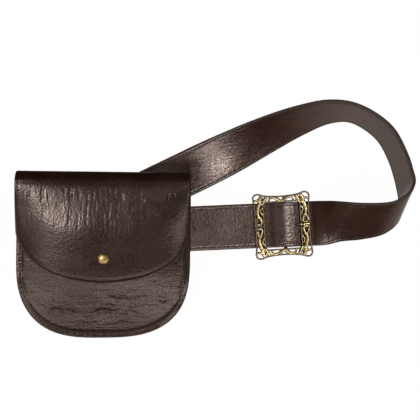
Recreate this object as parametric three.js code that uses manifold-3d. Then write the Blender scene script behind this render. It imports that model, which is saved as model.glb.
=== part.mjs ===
// Hip bag: a flat leather pouch with a flap, hung on a belt with a pierced brass buckle.
// It lies on its back on a table. +Z is up, +Y runs to the pouch's top, +X along the belt to the buckle.
import * as THREE from "three";
import { mergeVertices } from "three/addons/utils/BufferGeometryUtils.js";
import Module from "manifold-3d";

const wasm = await Module();
wasm.setup();

// Driving sizes in millimetres, angles in degrees
const SEAT = 0.3;
const SEAM_GAP = 0.45;
const WELD = 1e-3;
const TINY = 1e-6;
const WALL = { panel: 1.6, flap: 2.4, loop: 1.6 };

// The pouch: x, y and turn place its bottom middle, every other y counts up from the bottom edge
const POUCH = {
  x: -98.6,
  y: -105.7,
  turn: -0.7,
  halfWidth: 77,
  cornerY: 74,
  squareness: 2.9,
  tilt: 0.024,
  mouthY: 132.5,
  backTopY: 135.4,
  margin: 5,
};
const BACK = { height: 11, droopFromY: 55, droopToY: 3 };
const PUFF = { low: 9, high: 14.5, fullness: 0.6 };

// The flap: fold over the top, then a half ellipse as its front edge
const FLAP = {
  halfWidth: 76.6,
  rearY: 127.5,
  foldY: 135.4,
  foldRadius: 11.2,
  ellipseY: 97,
  ellipseDrop: 46,
  sideShape: 4,
  dentFreeY: 12,
};

// Height of the flap's middle surface down its centre line, and how far its sides droop below that
const FLAP_DRAPE = [
  { y: 46, crown: 25.4, droop: 12 },
  { y: 51, crown: 27.6, droop: 12.5 },
  { y: 60, crown: 31.4, droop: 13.5 },
  { y: 66, crown: 32.3, droop: 14 },
  { y: 78, crown: 32.8, droop: 15 },
  { y: 95, crown: 33.6, droop: 14.5 },
  { y: 106, crown: 33.8, droop: 11.5 },
  { y: 120, crown: 33.3, droop: 5 },
  { y: 135.4, crown: 31.9, droop: 0 },
];

// Broad dents: middle, reach along x and y, depth (a negative depth is a swelling)
const FLAP_DENTS = [
  { x: -30, y: 112, reachX: 9, reachY: 26, depth: 0.9 },
  { x: 12, y: 108, reachX: 8, reachY: 30, depth: 0.8 },
  { x: 44, y: 100, reachX: 12, reachY: 28, depth: 1.1 },
];
const FRONT_DENTS = [
  { x: -20, y: 24, reachX: 30, reachY: 6, depth: 1.1 },
  { x: 24, y: 34, reachX: 26, reachY: 6, depth: 0.9 },
];

// The snap through flap and front panel
const SNAP = {
  x: 1.5,
  y: 72,
  capRadius: 5.2,
  capHeight: 2.4,
  rimHeight: 0.9,
  shankRadius: 1.6,
  holeRadius: 2,
  discRadius: 4.4,
  discHeight: 1.3,
  sides: 16,
};
const SNAP_DOME = [
  { radius: 0.86, height: 0.68 },
  { radius: 0.5, height: 0.93 },
  { radius: 0, height: 1 },
];

// The belt and the straight line of its front run through the buckle
const BELT = { width: 40, thick: 2.4 };
const RUN = { x: 62.3, y: -4.2, heading: 2.5 };
const HOLE = { radius: 1.5, first: 11, pitch: 45, count: 2, depth: 1.6, sides: 14 };

// The buckle's lowered bar: its half length, and the posts that carry it up to the frame
const BAR = { u: 2, z: 5.2, radius: 1.6, half: 21.2, sides: 8 };
const POST = { v: 22.6, lean: 0.2, head: 1.2, foot: 1.2, neck: 2 };
const HAIRPIN = { x: -137.2, y: -12.9, top: 8.6, bottom: 1.2, heading: 25.6 };

// Wrapped end: from the sewn tail to the underside of the buckle's bar, then over it to the pouch
const TAIL = [
  { u: -30, z: 2.1 },
  { u: -16, z: 2.1 },
  { u: -5, z: 2.1 },
];
const FIXED = [
  { u: -4, z: 7.5 },
  { u: -11, z: 5.1 },
  { u: -20, z: 4.8 },
  { u: -32, z: 4.8 },
  { u: -58, z: 5.7 },
  { u: -84, z: 6.4 },
  { u: -110, z: 6.5 },
  { u: -150, z: 6.5 },
  { u: -186, z: 6.5 },
];

// The loop: middle of the strip in plan, height of its lower edge, direction of its upper edge, lean
const LOOP = [
  { x: -110, y: 0.1, low: 1.2, swing: 115.6, lift: 0 },
  { x: -66, y: 21.3, low: 1.2, swing: 115.6, lift: 0 },
  { x: -36, y: 35.7, low: 1.2, swing: 115.6, lift: 0.5 },
  { x: -20.7, y: 43, low: 1.2, swing: 115.6, lift: 3 },
  { x: -2.7, y: 51.6, low: 1.2, swing: 116, lift: 11 },
  { x: 16.1, y: 60.5, low: 1.2, swing: 117, lift: 21 },
  { x: 44.1, y: 74.2, low: 1.1, swing: 119, lift: 36 },
  { x: 77.6, y: 88.7, low: 0.9, swing: 118, lift: 52 },
  { x: 103.6, y: 96, low: 0.8, swing: 108, lift: 63 },
  { x: 125.6, y: 94.1, low: 0.6, swing: 73, lift: 71 },
  { x: 150.9, y: 77.5, low: 0.6, swing: 46, lift: 72 },
  { x: 163.6, y: 55.2, low: 0.6, swing: 28, lift: 73 },
  { x: 169.5, y: 35.8, low: 1.2, swing: 42, lift: 72 },
  { x: 171.1, y: 25.1, low: 4.9, swing: 70, lift: 59 },
  { x: 168.8, y: 15.1, low: 12.3, swing: 77, lift: 51 },
  { x: 163, y: 7.7, low: 16, swing: 79, lift: 47 },
  { x: 152.5, y: 1.8, low: 17, swing: 82, lift: 44 },
  { x: 131.9, y: -1, low: 15.5, swing: 90, lift: 37 },
  { x: 112, y: -1.3, low: 11, swing: 93, lift: 28 },
];

// Free end: under the buckle's right side, over its bar, under its left side, on through the tunnel
const FREE = [
  { u: 38, z: 10.8, lift: 19 },
  { u: 31, z: 8.4, lift: 11 },
  { u: 26, z: 7.3, lift: 1.5 },
  { u: 21, z: 7.2, lift: 0 },
  { u: 16.5, z: 7.4, lift: 0 },
  { u: 9, z: 9.7, lift: 0 },
  { u: 2, z: 11.1, lift: 0 },
  { u: -5, z: 10.4, lift: 0 },
  { u: -13, z: 7.9, lift: 0 },
  { u: -20, z: 7.6, lift: 0 },
  { u: -32, z: 7.6, lift: 0 },
  { u: -58, z: 8.5, lift: 0 },
  { u: -84, z: 9.2, lift: 0 },
  { u: -110, z: 9.35, lift: 0 },
  { u: -180, z: 9.35, lift: 0 },
];
const STEPS_PER_ROW = 3;
const ARC_STEPS = 8;

// Tunnel on the pouch's back: its middle line across, y from the pouch's bottom
const TUNNEL = { fromX: -29.5, toX: 28.5 };
const TUNNEL_LINE = [
  { y: 61.5, z: 9.9 },
  { y: 69.6, z: 9.9 },
  { y: 71, z: 3.8 },
  { y: 117.6, z: 3.8 },
  { y: 119, z: 9.9 },
  { y: 126.5, z: 9.9 },
];

// The buckle: rims and a quarter of its scrolls, mirrored about both middle lines
const BUCKLE = { turn: 3.9, shiftU: -0.3, shiftV: -0.5, z: 10.6, half: 1.4, rim: 0.75, sides: 5 };
const WINDOW = { halfU: 15.9, halfV: 21.9, corner: 4, stopU: 6, stopV: 8.5 };
const OUTER_RIM = [
  { u: 0, v: 25.7 },
  { u: 7, v: 26 },
  { u: 14, v: 27 },
  { u: 19, v: 28.6 },
  { u: 22, v: 29.2 },
  { u: 24.3, v: 27.2 },
  { u: 24.2, v: 23.6 },
  { u: 23.7, v: 17 },
  { u: 23.2, v: 8 },
];
const SCROLLS = {
  crossBlock: [
    { u: 16, v: 0, r: 1.5 },
    { u: 23.2, v: 0, r: 1.5 },
  ],
  sideStem: [
    { u: 18.6, v: 21, r: 1.2 },
    { u: 20.8, v: 18.2, r: 1.9 },
    { u: 21.1, v: 14, r: 1.3 },
    { u: 20.5, v: 10.4, r: 1 },
    { u: 18.8, v: 8, r: 1 },
    { u: 18.3, v: 5.2, r: 1 },
    { u: 19.4, v: 2.8, r: 1 },
    { u: 21.6, v: 2.3, r: 1.2 },
  ],
  sideSpur: [
    { u: 20.5, v: 10.4, r: 0.9 },
    { u: 21.7, v: 8.2, r: 0.9 },
    { u: 22.6, v: 5.6, r: 0.8 },
  ],
  sideCrescent: [
    { u: 16.2, v: 16.8, r: 0.8 },
    { u: 18.6, v: 14.8, r: 0.9 },
    { u: 18.6, v: 12, r: 0.9 },
    { u: 16.2, v: 9.9, r: 0.8 },
  ],
  topStem: [
    { u: -0.6, v: 21.8, r: 1 },
    { u: 2.6, v: 23.3, r: 1 },
    { u: 6.4, v: 24.4, r: 0.9 },
    { u: 9.6, v: 24, r: 0.9 },
    { u: 10.8, v: 21.9, r: 0.9 },
  ],
  topLeaf: [
    { u: 13.2, v: 21.4, r: 0.9 },
    { u: 14.6, v: 23.6, r: 1.4 },
    { u: 14.8, v: 26, r: 0.8 },
  ],
  cornerLeaf: [
    { u: 15.2, v: 20.4, r: 1.1 },
    { u: 18.4, v: 23.6, r: 1.5 },
    { u: 21.6, v: 27.4, r: 0.9 },
  ],
  cornerKnot: [
    { u: 18.4, v: 23.6, r: 1.2 },
    { u: 22.4, v: 22.8, r: 1.2 },
    { u: 24.8, v: 22, r: 0.9 },
  ],
  cornerBridge: [
    { u: 15.2, v: 19.6, r: 1.1 },
    { u: 18.8, v: 21, r: 1.2 },
  ],
};
const SCROLL_STEPS = 2;

// The prong in the u-z plane of the buckle: ring round the bar, then its arm's middle line
const PRONG = {
  width: 3,
  ringInner: 1.9,
  ringOuter: 4.1,
  ringSides: 16,
  slot: 5.2,
  slotRadius: 4.6,
  slotSides: 24,
  holeHalf: 2.1,
};
const PRONG_ARM = [
  { u: 4.9, z: 6.4, half: 1 },
  { u: 8.2, z: 8.4, half: 1 },
  { u: 11.5, z: 11.2, half: 1 },
  { u: 15, z: 13.2, half: 1 },
  { u: 19, z: 13.7, half: 1 },
  { u: 24, z: 13.4, half: 0.6 },
];
const PRONG_HOLE = { fromU: 5.6, toU: 13.4, fromZ: 7.4, toZ: 14 };

const COLOUR = { leather: 0x3b2d28, belt: 0x43332c, brass: 0xb48a45 };

// Small helpers
const degrees = THREE.MathUtils.degToRad;
const smooth = (low, high, at) => THREE.MathUtils.smoothstep(at, low, high);
const spread = (from, to, count) =>
  Array.from({ length: count + 1 }, (_, i) => from + ((to - from) * i) / count);

// A column of a table, joined smoothly between its rows, for a key that rises down the table
function tableAt(rows, key, column, at) {
  const last = rows.length - 1;
  let row = 0;
  while (row < last - 1 && at > rows[row + 1][key]) row += 1;
  const slope = (k) => {
    const a = rows[Math.max(k - 1, 0)];
    const b = rows[Math.min(k + 1, last)];
    return (b[column] - a[column]) / (b[key] - a[key]);
  };
  const span = rows[row + 1][key] - rows[row][key];
  const t = THREE.MathUtils.clamp((at - rows[row][key]) / span, 0, 1);
  const t2 = t * t;
  const t3 = t2 * t;
  return (
    (2 * t3 - 3 * t2 + 1) * rows[row][column] +
    (t3 - 2 * t2 + t) * span * slope(row) +
    (3 * t2 - 2 * t3) * rows[row + 1][column] +
    (t3 - t2) * span * slope(row + 1)
  );
}

// The depth of a table of dents at a point
function dentAt(dents, x, y) {
  return dents.reduce((sum, d) => {
    const across = (x - d.x) / d.reachX;
    const down = (y - d.y) / d.reachY;
    return sum + d.depth * Math.exp(-(across * across + down * down));
  }, 0);
}

// A closed body from points and triangles: equal points joined, collapsed triangles left out, facing out
function closedBody(points, triangles) {
  const flat = new Float32Array(points.flatMap((p) => [p.x, p.y, p.z]));
  const raw = new THREE.BufferGeometry();
  raw.setAttribute("position", new THREE.BufferAttribute(flat, 3));
  raw.setIndex(triangles);
  const merged = mergeVertices(raw, WELD);
  const index = merged.index.array;
  const kept = [];
  for (let i = 0; i < index.length; i += 3) {
    const [a, b, c] = index.slice(i, i + 3);
    if (a !== b && b !== c && a !== c) kept.push(a, b, c);
  }
  const at = (k) => new THREE.Vector3().fromBufferAttribute(merged.attributes.position, k);
  let volume = 0;
  for (let i = 0; i < kept.length; i += 3) {
    volume += at(kept[i]).dot(at(kept[i + 1]).cross(at(kept[i + 2])));
  }
  if (volume < 0) {
    for (let i = 0; i < kept.length; i += 3) [kept[i + 1], kept[i + 2]] = [kept[i + 2], kept[i + 1]];
  }
  merged.setIndex(kept);
  return merged;
}

// A wall between two faces given as grids of points, closed along its edges.
// With seam set, the last row of one half meets the last row of the other and has no edge.
function wallBody(outer, inner, seam) {
  const columns = outer.length;
  const rows = outer[0].length;
  const points = [...outer.flat(), ...inner.flat()];
  const out = (i, j) => i * rows + j;
  const inn = (i, j) => columns * rows + i * rows + j;
  const triangles = [];
  const quad = (a, b, c, d) => triangles.push(a, b, c, a, c, d);
  for (let i = 0; i < columns - 1; i += 1) {
    for (let j = 0; j < rows - 1; j += 1) {
      quad(out(i, j), out(i + 1, j), out(i + 1, j + 1), out(i, j + 1));
      quad(inn(i, j), inn(i, j + 1), inn(i + 1, j + 1), inn(i + 1, j));
    }
    quad(out(i + 1, 0), out(i, 0), inn(i, 0), inn(i + 1, 0));
    if (!seam) {
      const end = rows - 1;
      quad(out(i, end), out(i + 1, end), inn(i + 1, end), inn(i, end));
    }
  }
  for (let j = 0; j < rows - 1; j += 1) {
    const end = columns - 1;
    quad(out(0, j), out(0, j + 1), inn(0, j + 1), inn(0, j));
    quad(out(end, j + 1), out(end, j), inn(end, j), inn(end, j + 1));
  }
  return closedBody(points, triangles);
}

// A body carried through closed sections of equal count, capped at both ends or closed on itself
function loftBody(sections, closed) {
  const ring = sections[0].length;
  const points = sections.flat();
  const triangles = [];
  const spans = closed ? sections.length : sections.length - 1;
  for (let s = 0; s < spans; s += 1) {
    const here = s * ring;
    const next = ((s + 1) % sections.length) * ring;
    for (let k = 0; k < ring; k += 1) {
      const m = (k + 1) % ring;
      triangles.push(here + k, here + m, next + m, here + k, next + m, next + k);
    }
  }
  if (!closed) {
    const end = (sections.length - 1) * ring;
    for (let k = 1; k < ring - 1; k += 1) {
      triangles.push(0, k + 1, k, end, end + k, end + k + 1);
    }
  }
  return closedBody(points, triangles);
}

// Joining and cutting
function solidOf(geometry) {
  const bare = geometry.clone();
  bare.deleteAttribute("normal");
  bare.deleteAttribute("uv");
  const merged = mergeVertices(bare, WELD);
  return new wasm.Manifold(
    new wasm.Mesh({
      numProp: 3,
      vertProperties: merged.attributes.position.array,
      triVerts: new Uint32Array(merged.index.array),
    }),
  );
}

function geometryOf(solid) {
  const mesh = solid.getMesh();
  const made = new THREE.BufferGeometry();
  made.setAttribute("position", new THREE.BufferAttribute(mesh.vertProperties, 3));
  made.setIndex(new THREE.BufferAttribute(mesh.triVerts, 1));
  return made;
}

const joined = (geometries) =>
  geometryOf(geometries.map(solidOf).reduce((all, next) => all.add(next)));
const cut = (geometry, cutters) =>
  geometryOf(cutters.map(solidOf).reduce((left, next) => left.subtract(next), solidOf(geometry)));

// Pouch: rings that shrink from the outline to a spine; across is -1 to 1, down is 0 at the mouth to 1.
// Below its corners the pouch hangs a little lower on the left, by its tilt.
const STRAIGHT_SHARE = 0.4;

function pouchPlan(across, down, topY) {
  const ring = Math.abs(across);
  if (down < STRAIGHT_SHARE) {
    const y = THREE.MathUtils.lerp(topY, POUCH.cornerY, down / STRAIGHT_SHARE);
    return { x: POUCH.halfWidth * across, y };
  }
  const turn = ((down - STRAIGHT_SHARE) / (1 - STRAIGHT_SHARE)) * (Math.PI / 2);
  const power = 2 / POUCH.squareness;
  const x = POUCH.halfWidth * across * Math.max(Math.cos(turn), 0) ** power;
  const share = ring * Math.sin(turn) ** power;
  return { x, y: POUCH.cornerY * (1 - share) + POUCH.tilt * x * share };
}

const backHeight = (y) => BACK.height * smooth(BACK.droopToY, BACK.droopFromY, y);

// How far the front panel stands off its sewn margin
function puffAt(across, x, y) {
  const seam = 1 - POUCH.margin / POUCH.halfWidth;
  const inside = THREE.MathUtils.clamp((seam - Math.abs(across)) / seam, 0, 1);
  const height = PUFF.low + ((PUFF.high - PUFF.low) * y) / POUCH.mouthY;
  const rise = Math.sin((Math.PI / 2) * inside ** PUFF.fullness);
  return height * rise - dentAt(FRONT_DENTS, x, y) * rise;
}

function frontPoint(across, down) {
  const { x, y } = pouchPlan(across, down, POUCH.mouthY);
  const base = backHeight(y) + 2 * WALL.panel + SEAM_GAP;
  return new THREE.Vector3(x, y, base + puffAt(across, x, y));
}

// A surface's unit normal by small differences, upright where the surface closes to a point
function normalAt(surface, u, v, limitsU, limitsV) {
  const small = WELD;
  const clampU = (t) => THREE.MathUtils.clamp(t, ...limitsU);
  const clampV = (t) => THREE.MathUtils.clamp(t, ...limitsV);
  const du = surface(clampU(u + small), v).sub(surface(clampU(u - small), v));
  const dv = surface(u, clampV(v + small)).sub(surface(u, clampV(v - small)));
  const normal = du.cross(dv);
  return normal.length() > TINY * TINY ? normal.normalize() : new THREE.Vector3(0, 0, 1);
}

const HALF_RINGS = [0, 0.2, 0.4, 0.57, 0.71, 0.82, 0.89, 0.925, 0.94, 1];
const RINGS = [...HALF_RINGS.slice(1).reverse().map((r) => -r), ...HALF_RINGS];
const DOWN_STEPS = [...spread(0, STRAIGHT_SHARE, 5), ...spread(STRAIGHT_SHARE, 1, 9).slice(1)];

function frontPanel() {
  const outer = RINGS.map((a) => DOWN_STEPS.map((d) => frontPoint(a, d)));
  const inner = RINGS.map((a, i) =>
    DOWN_STEPS.map((d, j) => {
      const normal = normalAt(frontPoint, a, d, [-1, 1], [0, 1]);
      if (normal.z < 0) normal.negate();
      if (j === DOWN_STEPS.length - 1 || a === 0) normal.setX(0).normalize();
      return outer[i][j].clone().addScaledVector(normal, -WALL.panel);
    }),
  );
  return wallBody(outer, inner, true);
}

function backPanel() {
  const half = [0, 0.2, 0.34, 0.48, 0.64, 0.8, 0.94, 1];
  const rings = [...half.slice(1).reverse().map((r) => -r), ...half];
  const steps = [...spread(0, STRAIGHT_SHARE, 2), ...spread(STRAIGHT_SHARE, 1, 9).slice(1)];
  const face = (lift) =>
    rings.map((a) =>
      steps.map((d) => {
        const { x, y } = pouchPlan(a, d, POUCH.backTopY);
        return new THREE.Vector3(x, y, backHeight(y) + lift);
      }),
    );
  return wallBody(face(WALL.panel), face(0), true);
}

// Flap: across is -1 to 1; along is 0 to 1 on the back, 1 to 2 round the fold, 2 to 3 down the front
function flapPoint(across, along) {
  const x = FLAP.halfWidth * across;
  const centre = tableAt(FLAP_DRAPE, "y", "crown", FLAP.foldY) - FLAP.foldRadius;
  if (along < 1) {
    const y = THREE.MathUtils.lerp(FLAP.rearY, FLAP.foldY, along);
    return new THREE.Vector3(x, y, centre - FLAP.foldRadius);
  }
  if (along < 2) {
    const turn = (along - 1.5) * Math.PI;
    const y = FLAP.foldY + FLAP.foldRadius * Math.cos(turn);
    return new THREE.Vector3(x, y, centre + FLAP.foldRadius * Math.sin(turn));
  }
  const edgeY = FLAP.ellipseY - FLAP.ellipseDrop * Math.sqrt(Math.max(1 - across * across, 0));
  const y = THREE.MathUtils.lerp(FLAP.foldY, edgeY, along - 2);
  const droop = tableAt(FLAP_DRAPE, "y", "droop", y) * Math.abs(across) ** FLAP.sideShape;
  const away = smooth(FLAP.foldY, FLAP.foldY - FLAP.dentFreeY, y);
  const dent = dentAt(FLAP_DENTS, x, y) * away;
  return new THREE.Vector3(x, y, tableAt(FLAP_DRAPE, "y", "crown", y) - droop - dent);
}

function flap() {
  const columns = spread(-90, 90, 20).map((a) => Math.sin(degrees(a)));
  const rows = [0, ...spread(1, 2, 8), ...spread(2, 3, 11).slice(1)];
  const face = (side) =>
    columns.map((a) =>
      rows.map((along) => {
        const normal = normalAt(flapPoint, a, along, [-1, 1], [0, 3]).negate();
        if (1 - Math.abs(a) < TINY) normal.setY(0).normalize();
        return flapPoint(a, along).addScaledVector(normal, (side * WALL.flap) / 2);
      }),
    );
  return wallBody(face(1), face(-1), false);
}

// Snap: both halves are turned about the vertical through the snap's middle
function turned(profile) {
  const made = new THREE.LatheGeometry(
    profile.map(([r, z]) => new THREE.Vector2(r, z)),
    SNAP.sides,
  );
  made.rotateX(Math.PI / 2);
  made.translate(SNAP.x, SNAP.y, 0);
  return made;
}

const snapFlapZ = tableAt(FLAP_DRAPE, "y", "crown", SNAP.y);

function snapCap() {
  const seat = snapFlapZ + WALL.flap / 2 + SEAT;
  const under = snapFlapZ - WALL.flap / 2 - SEAT;
  const foot = under - SNAP.discHeight;
  return turned([
    [0, foot],
    [SNAP.discRadius, foot],
    [SNAP.discRadius, under],
    [SNAP.shankRadius, under],
    [SNAP.shankRadius, seat],
    [SNAP.capRadius, seat],
    [SNAP.capRadius, seat + SNAP.rimHeight],
    ...SNAP_DOME.map((row) => [SNAP.capRadius * row.radius, seat + SNAP.capHeight * row.height]),
  ]);
}

function snapPost() {
  const face = snapPanelZ() + SEAT;
  const back = face - WALL.panel - 2 * SEAT;
  return turned([
    [0, back - SNAP.discHeight],
    [SNAP.discRadius, back - SNAP.discHeight],
    [SNAP.discRadius, back],
    [SNAP.shankRadius, back],
    [SNAP.shankRadius, face],
    [SNAP.discRadius, face],
    [SNAP.discRadius, face + SNAP.discHeight],
    [0, face + SNAP.discHeight],
  ]);
}

// Height of the front panel's outer face at the snap
function snapPanelZ() {
  const ring = (POUCH.cornerY - SNAP.y) / POUCH.cornerY;
  const base = backHeight(SNAP.y) + 2 * WALL.panel + SEAM_GAP;
  return base + puffAt(ring, SNAP.x, SNAP.y);
}

function snapHole(middleZ) {
  const drill = new THREE.CylinderGeometry(SNAP.holeRadius, SNAP.holeRadius, 3 * WALL.flap, SNAP.sides);
  drill.rotateX(Math.PI / 2);
  drill.translate(SNAP.x, SNAP.y, middleZ);
  return drill;
}

// Belt: a point of the front run at u along it, and the strip's stations from tail to tip
function runPoint(u, z) {
  const turn = degrees(RUN.heading);
  return new THREE.Vector3(RUN.x + u * Math.cos(turn), RUN.y + u * Math.sin(turn), z);
}

// A direction from its compass angle in plan and its lift above the table
function widthVector(swing, lift) {
  const level = Math.cos(degrees(lift));
  return new THREE.Vector3(
    level * Math.cos(degrees(swing)),
    level * Math.sin(degrees(swing)),
    Math.sin(degrees(lift)),
  );
}

const acrossRun = 90 + RUN.heading;

function beltStations() {
  const stations = [];
  const add = (point, swing, lift) => stations.push({ point, swing, lift });
  TAIL.forEach((row) => add(runPoint(row.u, row.z), acrossRun, 0));
  const wrap = BAR.radius + SEAT + BELT.thick / 2;
  spread(-90, 90, ARC_STEPS).forEach((angle) => {
    const u = BAR.u + wrap * Math.cos(degrees(angle));
    add(runPoint(u, BAR.z + wrap * Math.sin(degrees(angle))), acrossRun, 0);
  });
  FIXED.forEach((row) => add(runPoint(row.u, row.z), acrossRun, 0));
  const radius = (HAIRPIN.top - HAIRPIN.bottom) / 2;
  const axis = (acrossRun + HAIRPIN.heading + 90) / 2;
  const turn = (HAIRPIN.heading - RUN.heading) / 2;
  const advance = radius * Math.PI * Math.tan(degrees(turn));
  spread(90, -90, ARC_STEPS).forEach((angle) => {
    const share = (90 - angle) / 180 - 0.5;
    const out = radius * Math.cos(degrees(angle));
    const point = new THREE.Vector3(
      HAIRPIN.x - out * Math.sin(degrees(axis)) + share * advance * Math.cos(degrees(axis)),
      HAIRPIN.y + out * Math.cos(degrees(axis)) + share * advance * Math.sin(degrees(axis)),
      HAIRPIN.bottom + radius * (1 + Math.sin(degrees(angle))),
    );
    add(point, THREE.MathUtils.lerp(acrossRun, 90 + HAIRPIN.heading, share + 0.5), 0);
  });
  LOOP.forEach((row) => {
    const z = row.low + (BELT.width / 2) * Math.sin(degrees(row.lift));
    add(new THREE.Vector3(row.x, row.y, z), row.swing, row.lift);
  });
  FREE.forEach((row) => add(runPoint(row.u, row.z), acrossRun, row.lift));
  return stations;
}

// The strip: a flat section carried along the stations, raised wherever it would sink into the table
function beltStrip() {
  const stations = beltStations();
  const path = new THREE.CatmullRomCurve3(
    stations.map((s) => s.point),
    false,
    "centripetal",
  );
  const lean = new THREE.CatmullRomCurve3(
    stations.map((s) => new THREE.Vector3(s.swing, s.lift, 0)),
    false,
    "catmullrom",
  );
  const count = (stations.length - 1) * STEPS_PER_ROW;
  const sections = spread(0, 1, count).map((t) => {
    const middle = path.getPoint(t);
    const forward = path.getTangent(t);
    const angles = lean.getPoint(t);
    const width = widthVector(angles.x, angles.y);
    const face = forward.clone().cross(width).normalize();
    const w = width.clone().multiplyScalar(BELT.width / 2);
    const n = face.multiplyScalar(BELT.thick / 2);
    const corners = [
      middle.clone().add(w).add(n),
      middle.clone().sub(w).add(n),
      middle.clone().sub(w).sub(n),
      middle.clone().add(w).sub(n),
    ];
    const sunk = Math.min(0, ...corners.map((corner) => corner.z));
    return corners.map((corner) => corner.setZ(corner.z - sunk));
  });
  return loftBody(sections, false);
}

// Moves a body made in the front run's own axes (u, v, z) to its place
function onRun(geometry, extraTurn = 0) {
  geometry.rotateZ(degrees(RUN.heading + extraTurn));
  geometry.translate(RUN.x, RUN.y, 0);
  return geometry;
}

function belt() {
  const holes = spread(1, HOLE.count, HOLE.count - 1).map((k) => {
    const u = HOLE.first - HOLE.pitch * k;
    const rows = [...FREE].reverse();
    const drill = new THREE.CylinderGeometry(HOLE.radius, HOLE.radius, 2 * HOLE.depth, HOLE.sides);
    drill.rotateX(Math.PI / 2);
    drill.translate(u, 0, tableAt(rows, "u", "z", u) + HOLE.depth - BELT.thick / 2 - SEAT / 2);
    return onRun(drill);
  });
  const slot = new THREE.CylinderGeometry(PRONG.slotRadius, PRONG.slotRadius, PRONG.slot, PRONG.slotSides);
  slot.translate(BAR.u, 0, BAR.z);
  const { fromU, toU, fromZ, toZ } = PRONG_HOLE;
  const gap = new THREE.BoxGeometry(toU - fromU, 2 * PRONG.holeHalf, toZ - fromZ);
  gap.translate((fromU + toU) / 2, 0, (fromZ + toZ) / 2);
  return cut(beltStrip(), [...holes, onRun(slot), onRun(gap)]);
}

// Tunnel: its middle line thickened and carried across
function beltLoop() {
  const half = WALL.loop / 2;
  const line = TUNNEL_LINE.map((row) => new THREE.Vector2(row.y, row.z));
  const side = (sign) =>
    line.map((p, i) => {
      const before = line[Math.max(i - 1, 0)];
      const after = line[Math.min(i + 1, line.length - 1)];
      const a = (i ? p.clone().sub(before) : after.clone().sub(p)).normalize();
      const b = (i < line.length - 1 ? after.clone().sub(p) : p.clone().sub(before)).normalize();
      const normal = new THREE.Vector2(-a.y - b.y, a.x + b.x).normalize();
      const reach = half / normal.dot(new THREE.Vector2(-a.y, a.x));
      return p.clone().addScaledVector(normal, sign * reach);
    });
  const outline = new THREE.Shape([...side(1), ...side(-1).reverse()]);
  const made = new THREE.ExtrudeGeometry(outline, {
    depth: TUNNEL.toX - TUNNEL.fromX,
    bevelEnabled: false,
  });
  made.applyMatrix4(
    new THREE.Matrix4().makeBasis(
      new THREE.Vector3(0, 1, 0),
      new THREE.Vector3(0, 0, 1),
      new THREE.Vector3(1, 0, 0),
    ),
  );
  made.translate(TUNNEL.fromX, 0, 0);
  return made;
}

// Buckle: a ridge of lens-shaped section along a line in the frame's plane
function ridge(rows, closed, mirrorU = 1, mirrorV = 1) {
  const place = (row) => new THREE.Vector3(mirrorU * row.u, mirrorV * row.v, row.r ?? BUCKLE.rim);
  const curve = new THREE.CatmullRomCurve3(rows.map(place), closed, "catmullrom");
  const spans = closed ? rows.length : rows.length - 1;
  const count = spans === 1 ? 1 : spans * SCROLL_STEPS;
  const stops = spread(0, 1, count);
  const sections = (closed ? stops.slice(0, -1) : stops).map((t) => {
    const { x, y, z: radius } = curve.getPoint(t);
    const forward = curve.getTangent(t).setZ(0).normalize();
    return spread(90, 450, BUCKLE.sides)
      .slice(0, -1)
      .map((angle) => {
        const aside = radius * Math.cos(degrees(angle));
        const up = BUCKLE.half * Math.sin(degrees(angle));
        return new THREE.Vector3(x - forward.y * aside, y + forward.x * aside, BUCKLE.z + up);
      });
  });
  return loftBody(sections, closed);
}

// A quarter of a closed line, mirrored to the whole line in order
function wholeLine(quarter) {
  const flipV = quarter.slice().reverse().map((p) => ({ u: p.u, v: -p.v }));
  const right = [...quarter, ...flipV];
  const left = right.slice().reverse().map((p) => ({ u: -p.u, v: p.v }));
  const line = [...right, ...left];
  return line.filter((p, i) => {
    const next = line[(i + 1) % line.length];
    return Math.hypot(p.u - next.u, p.v - next.v) > TINY;
  });
}

function windowQuarter() {
  const { halfU, halfV, corner, stopU, stopV } = WINDOW;
  const arc = spread(90, 0, 3).map((angle) => ({
    u: halfU - corner + corner * Math.cos(degrees(angle)),
    v: halfV - corner + corner * Math.sin(degrees(angle)),
  }));
  const top = [0, stopU].map((u) => ({ u, v: halfV }));
  const side = [stopV, 0].map((v) => ({ u: halfU, v }));
  return [...top, ...arc, ...side];
}

// The lowered bar and its two posts
function centreBar() {
  const half = [
    { v: 0, z: BAR.z },
    { v: BAR.half, z: BAR.z },
    { v: POST.v - POST.lean, z: BAR.z + POST.foot },
    { v: POST.v, z: BUCKLE.z - POST.neck },
    { v: POST.v + POST.head, z: BUCKLE.z },
  ];
  const mirrored = half.slice(1).reverse().map((row) => ({ v: -row.v, z: row.z }));
  const rows = [...mirrored, ...half];
  const sections = rows.map((row, i) => {
    const before = rows[Math.max(i - 1, 0)];
    const after = rows[Math.min(i + 1, rows.length - 1)];
    const along = new THREE.Vector2(after.v - before.v, after.z - before.z).normalize();
    return spread(0, 360, BAR.sides)
      .slice(0, -1)
      .map((angle) => {
        const aside = BAR.radius * Math.cos(degrees(angle));
        const up = BAR.radius * Math.sin(degrees(angle));
        return new THREE.Vector3(BAR.u + aside, row.v - along.y * up, row.z + along.x * up);
      });
  });
  return loftBody(sections, false);
}

function buckleFrame() {
  const scrolls = Object.values(SCROLLS).flatMap((rows) =>
    [1, -1].flatMap((u) => [1, -1].map((v) => ridge(rows, false, u, v))),
  );
  const rims = [ridge(wholeLine(OUTER_RIM), true), ridge(wholeLine(windowQuarter()), true)];
  const flat = joined([...rims, ...scrolls]);
  flat.translate(BUCKLE.shiftU, BUCKLE.shiftV, 0);
  const cast = onRun(flat, BUCKLE.turn - RUN.heading);
  return joined([cast, onRun(centreBar())]);
}

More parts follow.
